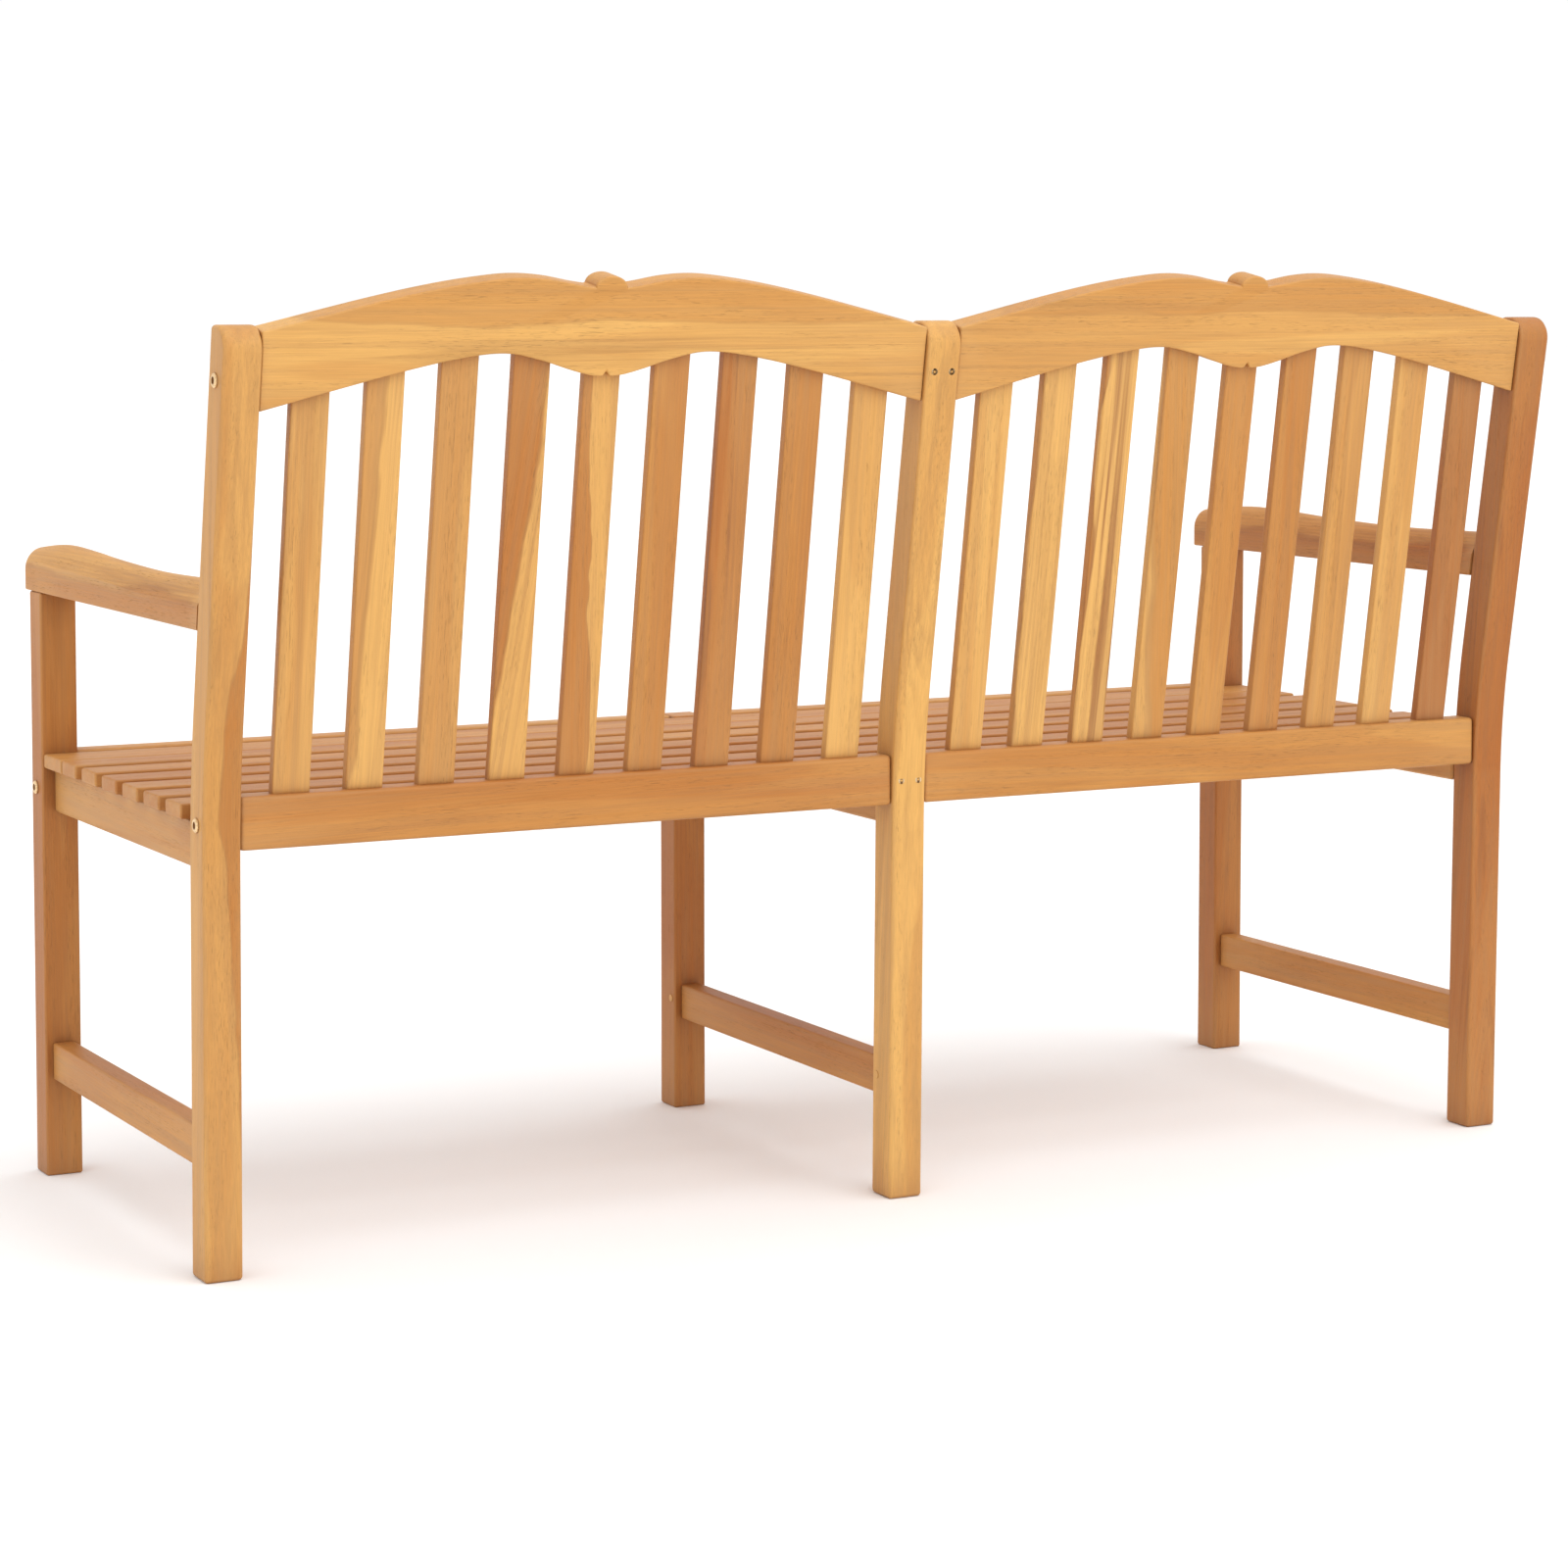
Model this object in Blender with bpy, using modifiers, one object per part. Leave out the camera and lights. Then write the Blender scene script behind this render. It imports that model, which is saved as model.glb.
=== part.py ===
"""Garden bench: three raked rear posts, three front legs, two slatted backs, one long slatted seat.

Metres, +Z up. The sitter faces -Y and the sitter's left is +X. Everything is laid out with y = 0 at the back
edge of the rear posts' feet and x = 0 in the middle; the whole bench is then moved so that its origin is the
middle of its footprint, on the ground. Each joint keeps a gap of 0.3 mm, as a dry fit does.
"""
from collections import namedtuple
from math import atan, cos, pi, radians, sin, sqrt, tan

import bmesh
import bpy
from mathutils import Matrix, Vector

# ---- driving dimensions ---------------------------------------------------------------------------------
LENGTH = 1.500                  # over the end posts
GAP = 0.0003                    # between touching pieces
EASE = 0.0025                   # rounding of the sawn edges

POST_WIDTH = 0.0375             # rear posts, along X
POST_DEPTH = 0.0395             # rear posts, square to their length
POST_TOP = 0.8965
POST_CROWN = 0.022              # radius of the rounded top rear corner
LEAN = radians(0.8)             # of the foot of a rear post
RAKE = radians(9.75)            # of its upper part
KINK_HEIGHT = 0.463             # where the two straight back edges would meet
BEND_REACH = 0.070              # from there to each end of the bend

LEG_WIDTH = 0.0387              # front legs, along X
LEG_DEPTH = 0.0370
LEG_FRONT = -0.5363             # y of their front faces
SEAT_TOP = 0.4450
ARM_BOTTOM = 0.6130

CREST_THICKNESS = 0.030
CREST_BOLT_HEIGHT = 0.846
SLAT_COUNT = 9                  # in each bay
SLAT_PITCH = 0.0734
SLAT_WIDTH = 0.0375
SLAT_THICKNESS = 0.0115
SLAT_SLOPE = 0.1636             # y per z of the plane that the back slats stand in
SLAT_TENON = 0.012              # housed length at each end

REAR_RAIL = (0.4058, 0.4570)    # bottom and top
REAR_RAIL_BACK = 0.0028         # y of its back face
REAR_RAIL_DEPTH = 0.030
REAR_BOLT_HEIGHT = 0.431
FRONT_RAIL = (0.3850, 0.4465)
FRONT_RAIL_FRONT = -0.5343
FRONT_RAIL_DEPTH = 0.028
FRONT_BOLT_HEIGHT = 0.408
BEARER = (0.3838, 0.4300)       # bottom and top of the end rails and the middle bearer
BEARER_WIDTH = 0.0255

SEAT_SLAT_THICKNESS = 0.0147
SEAT_SLAT_LENGTH = 1.497
FRONT_SLAT_WIDTH = 0.060
SEAT_SLAT_WIDTH = 0.046
SEAT_SLAT_PITCH = 0.0655
SEAT_SLAT_START = -0.4985       # y of the front slat's front edge
SECOND_SLAT_START = -0.4356

STRETCHER = (0.1020, 0.1410)    # bottom and top
STRETCHER_WIDTH = 0.0232

ARM_WIDTH = LEG_WIDTH
ARM_NOSE = -0.5550              # y of the tip
ARM_TIP_ROUND = 0.006           # rounding of the nose, in plan and from the side
ARM_FAIRING = 0.050             # behind the tip, over which the side's upper edge grows sharp
# Heights along an armrest, as (y, height): the middle of its rounded top, and the top of its upright sides.
ARM_CROWN = [(-0.5550, 0.6565), (-0.5000, 0.6622), (-0.4450, 0.6652), (-0.3700, 0.6634), (-0.2850, 0.6600),
             (-0.1550, 0.6575), (-0.0200, 0.6600)]
ARM_SIDES = [(-0.5550, 0.6340), (-0.5150, 0.6440), (-0.4400, 0.6430), (-0.3000, 0.6405), (-0.1760, 0.6365),
             (-0.0200, 0.6365)]

TENON_THICKNESS = 0.012
TENON_ROOT = 0.004              # how far a tenon's block runs back into its own piece
TENON_LENGTH = 0.015
SHORT_TENON = 0.011             # where two tenons meet in one post
FIT = 0.0004                    # clearance round a tenon, and past its end

BOLT_RADIUS = 0.0030
BOLT_HEAD_RADIUS = 0.0070
BOLT_HEAD_HEIGHT = 0.0022
BOLT_SOCKET_RADIUS = 0.0038
BOLT_SOCKET_FLOOR = 0.0009      # height of the socket's floor above the underside of the head
BOLT_LENGTH = 0.066             # under its head: through the post and 28 mm into the rail
POST_SCREW_LENGTH = 0.028
LEG_SCREW_LENGTH = 0.020
SCREW_RADIUS = 0.0020
SCREW_HEAD_RADIUS = 0.0036
SCREW_CONE = 0.0022             # depth of a countersunk head
PEG_RADIUS = 0.0040
PEG_END = 0.0120                # how far past the middle a peg reaches
BORE_CLEARANCE = 0.0004

POST_X = LENGTH / 2 - POST_WIDTH / 2
LEG_X = LENGTH / 2 - LEG_WIDTH / 2
LEG_BACK = LEG_FRONT + LEG_DEPTH
BAY_INNER = POST_WIDTH / 2
BAY_OUTER = LENGTH / 2 - POST_WIDTH
BAY_X = (BAY_INNER + BAY_OUTER) / 2
SIDES = {"left": 1, "middle": 0, "right": -1}
BAYS = {"left": 1, "right": -1}

Box = namedtuple("Box", "low high")
Rod = namedtuple("Rod", "start end radius end_radius")

bench = bpy.data.collections.new("garden_bench")
tools = bpy.data.collections.new("garden_bench_cutters")


# ---- making and joining ---------------------------------------------------------------------------------
def clear_scene():
    for old in list(bpy.data.objects):
        bpy.data.objects.remove(old, do_unlink=True)
    for collection in (bench, tools):
        bpy.context.scene.collection.children.link(collection)


def rod(start, end, radius, end_radius=None):
    """A round bar between two points; a second radius makes it a cone."""
    return Rod(Vector(start), Vector(end), radius, radius if end_radius is None else end_radius)


def box(x, y, z):
    """A block from its ranges along X, Y and Z, each given in either order."""
    low = Vector([min(pair) for pair in (x, y, z)])
    high = Vector([max(pair) for pair in (x, y, z)])
    return Box(low, high)


def grown(shape, by):
    """The mortise for a block that is a tenon."""
    spread = Vector((by, by, by))
    return Box(shape.low - spread, shape.high + spread)


def add_shape(bm, shape, sides=16):
    if isinstance(shape, Box):
        size = shape.high - shape.low
        middle = (shape.low + shape.high) / 2
        bmesh.ops.create_cube(bm, size=1.0, matrix=Matrix.Translation(middle) @ Matrix.Diagonal((*size, 1.0)))
        return
    along = shape.end - shape.start
    turn = along.to_track_quat("Z", "Y").to_matrix().to_4x4()
    bmesh.ops.create_cone(bm, cap_ends=True, cap_tris=False, segments=sides, radius1=shape.radius,
                          radius2=shape.end_radius, depth=along.length,
                          matrix=Matrix.Translation((shape.start + shape.end) / 2) @ turn)


def mesh_of(name, shapes, sides=16):
    bm = bmesh.new()
    for shape in shapes:
        add_shape(bm, shape, sides)
    mesh = bpy.data.meshes.new(name)
    bm.to_mesh(mesh)
    bm.free()
    return mesh


def wood(name, tint):
    """Oiled teak; tint moves its colour between straw (0) and red brown (1)."""
    straw = Vector((0.72, 0.42, 0.17))
    brown = Vector((0.46, 0.20, 0.07))
    return surface(name, straw.lerp(brown, tint), 0.55, 0.0)


def surface(name, colour, roughness, metallic):
    material = bpy.data.materials.new(name)
    material.use_nodes = True
    shader = material.node_tree.nodes["Principled BSDF"]
    shader.inputs["Base Color"].default_value = (*colour, 1.0)
    shader.inputs["Roughness"].default_value = roughness
    shader.inputs["Metallic"].default_value = metallic
    return material


def add_piece(name, mesh, material, parent=None):
    piece = bpy.data.objects.new(name, mesh)
    piece.data.materials.clear()
    piece.data.materials.append(material)
    piece.parent = parent or base
    bench.objects.link(piece)
    return piece


def ease_edges(piece, width=EASE, segments=1):
    bevel = piece.modifiers.new("eased_edges", "BEVEL")
    bevel.width = width
    bevel.segments = segments
    bevel.limit_method = "ANGLE"
    bevel.angle_limit = radians(40)


def boolean(piece, shapes, operation, sides=16, frame=None):
    """Joins shapes to a piece as tenons, or cuts them out of it. They are laid out in the piece's own
    parent frame, or in the one given."""
    if not shapes:
        return
    label = f"{piece.name}_{operation.lower()}_{len(piece.modifiers)}"
    tool = bpy.data.objects.new(label, mesh_of(label, shapes, sides))
    tool.parent = frame or piece.parent
    tool.hide_render = True
    tool.display_type = "WIRE"
    tools.objects.link(tool)
    modifier = piece.modifiers.new(operation.lower(), "BOOLEAN")
    modifier.operation = operation
    modifier.object = tool
    modifier.solver = "EXACT"


def plank(name, shape, material, tenons=(), cuts=(), bores=(), ease=EASE, segments=1, parent=None):
    """A sawn length of wood with eased edges, its tenons, its mortises, and the bores that cross them."""
    middle = (shape.low + shape.high) / 2
    centred = Box(shape.low - middle, shape.high - middle)
    piece = add_piece(name, mesh_of(name, [centred]), material, parent)
    piece.location = middle
    ease_edges(piece, ease, segments)
    boolean(piece, tenons, "UNION")
    boolean(piece, cuts, "DIFFERENCE")
    boolean(piece, bores, "DIFFERENCE", 12)
    return piece


def turned(name, profile, material, location, along, steps):
    """A turned piece: its profile, (radius, height) from top to bottom, spun round the direction it points up."""
    mesh = bpy.data.meshes.new(name)
    points = [(radius, 0.0, height) for radius, height in profile]
    mesh.from_pydata(points, [(i, i + 1) for i in range(len(points) - 1)], [])
    piece = add_piece(name, mesh, material)
    piece.location = location
    piece.rotation_mode = "QUATERNION"
    piece.rotation_quaternion = Vector(along).to_track_quat("Z", "Y")
    spin = piece.modifiers.new("turned", "SCREW")
    spin.steps = steps
    spin.render_steps = steps
    spin.use_merge_vertices = True
    spin.merge_threshold = 0.00002
    return piece


def sawn_outline(name, points, thickness, material, parent=None):
    """A board sawn to an outline: a filled flat curve, thickened, as a mesh in its own XY plane."""
    curve = bpy.data.curves.new(name, "CURVE")
    curve.dimensions = "2D"
    curve.fill_mode = "BOTH"
    curve.extrude = thickness / 2
    line = curve.splines.new("POLY")
    line.points.add(len(points) - 1)
    for point, (across, up) in zip(line.points, points):
        point.co = (across, up, 0.0, 1.0)
    line.use_cyclic_u = True
    flat = bpy.data.objects.new(name + "_outline", curve)
    bpy.context.scene.collection.objects.link(flat)
    depsgraph = bpy.context.evaluated_depsgraph_get()
    mesh = bpy.data.meshes.new_from_object(flat.evaluated_get(depsgraph))
    bpy.data.objects.remove(flat, do_unlink=True)
    bm = bmesh.new()
    bm.from_mesh(mesh)
    bmesh.ops.remove_doubles(bm, verts=bm.verts, dist=0.00001)
    bmesh.ops.dissolve_limit(bm, angle_limit=radians(0.05), verts=bm.verts, edges=bm.edges)
    bmesh.ops.recalc_face_normals(bm, faces=bm.faces)
    bm.to_mesh(mesh)
    bm.free()
    mesh.name = name
    piece = add_piece(name, mesh, material, parent)
    ease_edges(piece, segments=2)
    return piece


# ---- the back's geometry --------------------------------------------------------------------------------
def post_edge(offset):
    """Points (y, z) up one edge of a rear post, from the ground to the end of its bend."""
    kink = Vector((KINK_HEIGHT * tan(LEAN), KINK_HEIGHT))
    start = kink - BEND_REACH * Vector((sin(LEAN), cos(LEAN)))
    radius = BEND_REACH / tan((RAKE - LEAN) / 2)
    centre = start + radius * Vector((cos(LEAN), -sin(LEAN)))
    arc = []
    steps = 5
    for step in range(steps + 1):
        angle = LEAN + (RAKE - LEAN) * step / steps
        arc.append(centre + (radius + offset) * Vector((-cos(angle), sin(angle))))
    foot = arc[0] - arc[0].y / cos(LEAN) * Vector((sin(LEAN), cos(LEAN)))
    return [foot] + arc


def edge_y(z, offset):
    """Where the edge of a rear post, offset forward of its back edge, is at height z."""
    points = post_edge(offset)
    last = points[-1]
    points.append(last + (1.0 - last.y) * Vector((tan(RAKE), 1.0)))
    for below, above in zip(points, points[1:]):
        if z <= above.y:
            return below.x + (above.x - below.x) * (z - below.y) / (above.y - below.y)
    return points[-1].x


def post_front(z):
    return edge_y(z, POST_DEPTH)


def post_middle(z):
    return edge_y(z, POST_DEPTH / 2)


def rounded_corner(before, corner, after, radius, steps):
    """Points of the arc that rounds a corner of an outline."""
    to_before = (before - corner).normalized()
    to_after = (after - corner).normalized()
    half = to_before.angle(to_after) / 2
    inward = (to_before + to_after).normalized()
    centre = corner + inward * radius / sin(half)
    first = corner + to_before * radius / tan(half) - centre
    last = corner + to_after * radius / tan(half) - centre
    sweep = pi - 2 * half
    arc = []
    for step in range(steps + 1):
        turned_by = sweep * step / steps
        arc.append(centre + (first * sin(sweep - turned_by) + last * sin(turned_by)) / sin(sweep))
    return arc


def post_outline():
    back = post_edge(0.0)
    front = post_edge(POST_DEPTH)
    top_back = Vector((edge_y(POST_TOP, 0.0), POST_TOP))
    top_front = Vector((post_front(POST_TOP), POST_TOP))
    crown = rounded_corner(back[-1], top_back, top_front, POST_CROWN, 5)
    return back + crown + [top_front] + front[::-1]


def smooth_path(knots, steps):
    """Catmull-Rom curve through a few points, with each stretch cut into equal steps."""
    padded = [2 * knots[0] - knots[1], *knots, 2 * knots[-1] - knots[-2]]
    path = []
    for a, b, c, d in zip(padded, padded[1:], padded[2:], padded[3:]):
        for step in range(steps):
            t = step / steps
            path.append(0.5 * (2 * b + (c - a) * t + (2 * a - 5 * b + 4 * c - d) * t * t
                               + (3 * b - a - 3 * c + d) * t ** 3))
    path.append(knots[-1])
    return path


# Half outlines of the crest rail, from its middle to its end: distance from the middle, height above ground.
# The rail is raked with the posts, so along its own face a height is longer by 1 / cos(RAKE).
CREST_WAVE = [(0.0165, 0.9320), (0.0340, 0.9345), (0.0620, 0.9395), (0.0925, 0.9415), (0.1250, 0.9390),
              (0.1750, 0.9315), (0.2400, 0.9180), (0.3469, 0.8925)]
CREST_ARCH = [(0.0080, 0.8480), (0.0200, 0.8497), (0.0400, 0.8550), (0.0700, 0.8640), (0.1050, 0.8703),
              (0.1500, 0.8660), (0.2200, 0.8512), (0.3469, 0.8190)]
KNOB_BASE = 0.9320
KNOB_RISE = 0.0110
KNOB_HALF_WIDTH = 0.0165
NOTCH_DEPTH = 0.0050
NOTCH_HALF_WIDTH = 0.0035


def crest_half(knots, steps):
    half = (BAY_OUTER - BAY_INNER) / 2 - GAP
    return smooth_path([Vector((min(x, half), z)) for x, z in knots], steps)


def height_on(path, x):
    """Height of a path at a distance along its first coordinate; level beyond its ends."""
    for a, b in zip(path, path[1:]):
        if x <= b.x:
            return a.y + (b.y - a.y) * max(0.0, x - a.x) / (b.x - a.x)
    return path[-1].y


def crest_arch_height(x):
    """Height of the crest's lower edge at a distance from its middle."""
    return height_on(crest_half(CREST_ARCH, 3), x)


def crest_outline():
    """The crest rail's outline, closed: along the top from its +X end, then back along the bottom."""
    top = crest_half(CREST_WAVE, 3)
    bottom = crest_half(CREST_ARCH, 3)
    knob_steps = 8
    knob = []
    for step in range(1, knob_steps):
        angle = pi * step / knob_steps
        knob.append(Vector((KNOB_HALF_WIDTH * cos(angle), KNOB_BASE + KNOB_RISE * sin(angle))))
    lobe_height = bottom[0].y
    notch = [Vector((-NOTCH_HALF_WIDTH, lobe_height)), Vector((0.0, lobe_height + NOTCH_DEPTH)),
             Vector((NOTCH_HALF_WIDTH, lobe_height))]
    mirrored = [Vector((-p.x, p.y)) for p in top]
    lower_left = [Vector((-p.x, p.y)) for p in bottom]
    return top[::-1] + knob + mirrored + lower_left[::-1] + notch + bottom


# ---- frames: empties that carry the raked parts ---------------------------------------------------------
def raked_frame(name, height, y, slope_angle):
    """An empty at the given height whose Z runs up the rake."""
    frame = bpy.data.objects.new(name, None)
    bench.objects.link(frame)
    frame.parent = base
    frame.location = (0.0, y, height)
    frame.rotation_euler = (-slope_angle, 0.0, 0.0)
    return frame


def in_frame(frame, point):
    """A point of the bench, as the frame sees it."""
    return frame.matrix_basis.inverted() @ Vector(point)


# ---- shared joint shapes --------------------------------------------------------------------------------
def bearer_x(side):
    return side * (LEG_X - LEG_WIDTH / 2 + BEARER_WIDTH / 2) if side else 0.0


def bearer_tenons(side):
    """The tenons of an end rail or the bearer: into the front leg, and into the rear post."""
    x = bearer_x(side)
    length = TENON_LENGTH if side else SHORT_TENON
    across = (x - TENON_THICKNESS / 2, x + TENON_THICKNESS / 2)
    up = (BEARER[0] + 0.008, BEARER[1] - 0.010)
    face = post_front(BEARER[0])
    front = box(across, (LEG_BACK - length, LEG_BACK + TENON_ROOT), up)
    rear = box(across, (face - TENON_ROOT, face + length), up)
    return front, rear


def stretcher_tenons(side):
    x = side * LEG_X
    across = (x - TENON_THICKNESS / 2, x + TENON_THICKNESS / 2)
    up = (STRETCHER[0] + 0.007, STRETCHER[1] - 0.007)
    face = post_front(STRETCHER[0])
    front = box(across, (LEG_BACK - TENON_LENGTH, LEG_BACK + TENON_ROOT), up)
    rear = box(across, (face - TENON_ROOT, face + TENON_LENGTH), up)
    return front, rear


def arm_tenons(side):
    """The leg's tenon up into the armrest, and the armrest's tenon back into the post."""
    x = side * LEG_X
    half = 0.010
    middle = (LEG_FRONT + LEG_BACK) / 2
    leg = box((x - half, x + half), (middle - half, middle + half), (ARM_BOTTOM - 0.006, ARM_BOTTOM + 0.022))
    face = post_front(ARM_BOTTOM + 0.008)
    post = box((x - half, x + half), (face - 0.010, face + TENON_LENGTH), (ARM_BOTTOM + 0.008, ARM_BOTTOM + 0.030))
    return leg, post


def stub_tenon(side, x_face, y, low, high, thickness=0.010, length=0.008):
    """A short tenon that stops a bolted rail from turning on its bolt."""
    return box((x_face - side * TENON_ROOT, x_face + side * length), (y - thickness / 2, y + thickness / 2),
               (low, high))


def rear_rail_y():
    return REAR_RAIL_BACK - REAR_RAIL_DEPTH / 2


def front_rail_y():
    return FRONT_RAIL_FRONT + FRONT_RAIL_DEPTH / 2


def rear_rail_tenons(side):
    """Outer stub tenon into the end post, and inner tenon into the middle post."""
    outer = stub_tenon(side, side * (BAY_OUTER - GAP), rear_rail_y(), 0.4410, 0.4520)
    inner = box((side * (BAY_INNER - TENON_LENGTH), side * (BAY_INNER + TENON_ROOT)),
                (rear_rail_y() - TENON_THICKNESS / 2, rear_rail_y() + TENON_THICKNESS / 2), (0.4230, 0.4500))
    return outer, inner


def front_rail_tenons(side):
    leg_inner = LEG_X - LEG_WIDTH / 2
    outer = stub_tenon(side, side * (leg_inner - GAP), front_rail_y(), 0.4220, 0.4360)
    inner = box((side * (LEG_WIDTH / 2 - TENON_LENGTH), side * (LEG_WIDTH / 2 + TENON_ROOT)),
                (front_rail_y() - 0.005, front_rail_y() + 0.005), (0.3950, 0.4250))
    return outer, inner


def crest_tenons(side):
    """In the crest's own raked frame: an outer stub tenon, and an inner tenon into the middle post."""
    bolt = in_frame(crest_frame, (0.0, post_middle(CREST_BOLT_HEIGHT), CREST_BOLT_HEIGHT))
    outer = stub_tenon(side, side * (BAY_OUTER - GAP), bolt.y, bolt.z + 0.012, bolt.z + 0.030)
    inner = box((side * (BAY_INNER - TENON_LENGTH), side * (BAY_INNER + TENON_ROOT)),
                (bolt.y - TENON_THICKNESS / 2, bolt.y + TENON_THICKNESS / 2), (bolt.z - 0.014, bolt.z + 0.026))
    return outer, inner


def bolt_sites():
    """Where each bolt of one end lies, in Y and Z."""
    return {
        "crest": (post_middle(CREST_BOLT_HEIGHT), CREST_BOLT_HEIGHT),
        "rear_rail": (rear_rail_y(), REAR_BOLT_HEIGHT),
        "front_rail": (front_rail_y(), FRONT_BOLT_HEIGHT),
    }


def bolt_bore(side, y, z):
    """The bore of an end bolt, from outside the post to past the bolt's tip."""
    tip = LENGTH / 2 - BOLT_LENGTH - FIT
    return rod((side * (LENGTH / 2 + 0.01), y, z), (side * tip, y, z), BOLT_RADIUS + BORE_CLEARANCE)


def screw_sites():
    """The screws that lock the inner tenons: head position and direction, by name."""
    spread = 0.0098
    upper = Vector((0.0, -cos(RAKE), sin(RAKE)))
    lower = Vector((0.0, -1.0, 0.0))
    sites = {}
    for name, side in BAYS.items():
        x = side * spread
        sites["crest", name] = (Vector((x, edge_y(CREST_BOLT_HEIGHT, 0.0), CREST_BOLT_HEIGHT)), upper)
        sites["rear_rail", name] = (Vector((x, edge_y(REAR_BOLT_HEIGHT, 0.0), REAR_BOLT_HEIGHT)), lower)
        sites["front_rail", name] = (Vector((x, LEG_FRONT, FRONT_BOLT_HEIGHT)), -lower)
    return sites


def screw_bore(site, length):
    """The bore of a countersunk screw: an open cone for the head, then the shank."""
    head, into = site
    widen = (SCREW_HEAD_RADIUS - SCREW_RADIUS) / SCREW_CONE
    outside = 0.002
    return [rod(head - outside * into, head + (SCREW_CONE + FIT) * into,
                SCREW_HEAD_RADIUS + BORE_CLEARANCE + widen * outside, SCREW_RADIUS + BORE_CLEARANCE),
            rod(head + SCREW_CONE * into, head + (length + FIT) * into, SCREW_RADIUS + BORE_CLEARANCE)]


def peg_sites():
    """Pegs across the middle stretcher's tenons: y and z of each."""
    z = (STRETCHER[0] + STRETCHER[1]) / 2 + 0.003
    return [(post_front(z) + 0.0095, z), (LEG_BACK - 0.0095, z)]


def seat_slat_edges():
    """Front and back edge of each seat slat."""
    edges = [(SEAT_SLAT_START, SEAT_SLAT_START + FRONT_SLAT_WIDTH)]
    for index in range(6):
        front = SECOND_SLAT_START + index * SEAT_SLAT_PITCH
        edges.append((front, front + SEAT_SLAT_WIDTH))
    return edges


def slat_screw(x, y, clearance=0.0):
    """A seat slat screw, driven up from a pocket in the underside of a rail."""
    head = BEARER[0] + 0.018
    top = BEARER[1] + 0.0095
    shapes = [rod((x, y, head), (x, y, head + 0.0025), SCREW_HEAD_RADIUS + clearance),
              rod((x, y, head + 0.0024), (x, y, top + clearance), SCREW_RADIUS + clearance)]
    if clearance:
        shapes.append(rod((x, y, BEARER[0] - 0.002), (x, y, head + 0.0001), SCREW_HEAD_RADIUS + clearance))
    return shapes


# ---- the pieces -----------------------------------------------------------------------------------------
def make_posts():
    for name, side in SIDES.items():
        x = side * POST_X
        piece = sawn_outline(f"rear_post_{name}", post_outline(), POST_WIDTH, wood(f"rear_post_{name}", 0.25))
        piece.location = (x, 0.0, 0.0)
        piece.rotation_euler = (pi / 2, 0.0, pi / 2)
        mortises = [grown(bearer_tenons(side)[1], FIT), grown(stretcher_tenons(side)[1], FIT)]
        if side:
            mortises += [grown(arm_tenons(side)[1], FIT), grown(rear_rail_tenons(side)[0], FIT)]
            boolean(piece, mortises, "DIFFERENCE")
            bores = [bolt_bore(side, *bolt_sites()[joint]) for joint in ("crest", "rear_rail")]
            boolean(piece, bores, "DIFFERENCE")
            crest_holes = [grown(crest_tenons(side)[0], FIT)]
        else:
            mortises += [grown(rear_rail_tenons(bay)[1], FIT) for bay in (1, -1)]
            boolean(piece, mortises, "DIFFERENCE")
            crest_holes = [grown(crest_tenons(bay)[1], FIT) for bay in (1, -1)]
        boolean(piece, crest_holes, "DIFFERENCE", frame=crest_frame)
        if not side:
            bore_for_screws(piece, ("crest", "rear_rail"), BAYS, POST_SCREW_LENGTH)
            boolean(piece, [peg_bore(*peg_sites()[0])], "DIFFERENCE")


def bore_for_screws(piece, joints, bays, length):
    """Bores a piece for the screws of some joints, cones first and then shanks."""
    bores = [screw_bore(screw_sites()[joint, bay], length) for joint in joints for bay in bays]
    for level in zip(*bores):
        boolean(piece, level, "DIFFERENCE", 8, base)


def peg_bore(y, z):
    return rod((POST_WIDTH / 2 + 0.004, y, z), (-PEG_END - FIT, y, z), PEG_RADIUS + BORE_CLEARANCE)


def make_front_legs():
    for name, side in SIDES.items():
        x = side * LEG_X
        top = ARM_BOTTOM - GAP if side else FRONT_RAIL[1]
        shape = box((x - LEG_WIDTH / 2, x + LEG_WIDTH / 2), (LEG_FRONT, LEG_BACK), (0.0, top))
        mortises = [grown(bearer_tenons(side)[0], FIT), grown(stretcher_tenons(side)[0], FIT)]
        if side:
            mortises.append(grown(front_rail_tenons(side)[0], FIT))
            plank(f"front_leg_{name}", shape, wood(f"front_leg_{name}", 0.3),
                  [arm_tenons(side)[0]], mortises, [bolt_bore(side, *bolt_sites()["front_rail"])])
        else:
            mortises += [grown(front_rail_tenons(bay)[1], FIT) for bay in (1, -1)]
            piece = plank(f"front_leg_{name}", shape, wood(f"front_leg_{name}", 0.35), (), mortises)
            bore_for_screws(piece, ("front_rail",), BAYS, LEG_SCREW_LENGTH)
            boolean(piece, [peg_bore(*peg_sites()[1])], "DIFFERENCE")


def make_bearers():
    names = {1: "seat_end_rail_left", 0: "seat_bearer_middle", -1: "seat_end_rail_right"}
    for side, name in names.items():
        x = bearer_x(side)
        shape = box((x - BEARER_WIDTH / 2, x + BEARER_WIDTH / 2),
                    (LEG_BACK + GAP, post_front(BEARER[0]) - GAP), BEARER)
        holes = []
        for front, back in seat_slat_edges():
            holes.append(slat_screw(x, (front + back) / 2, BORE_CLEARANCE))
        piece = plank(name, shape, wood(name, 0.3), bearer_tenons(side))
        for level in zip(*holes):
            boolean(piece, level, "DIFFERENCE", 8)


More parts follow.
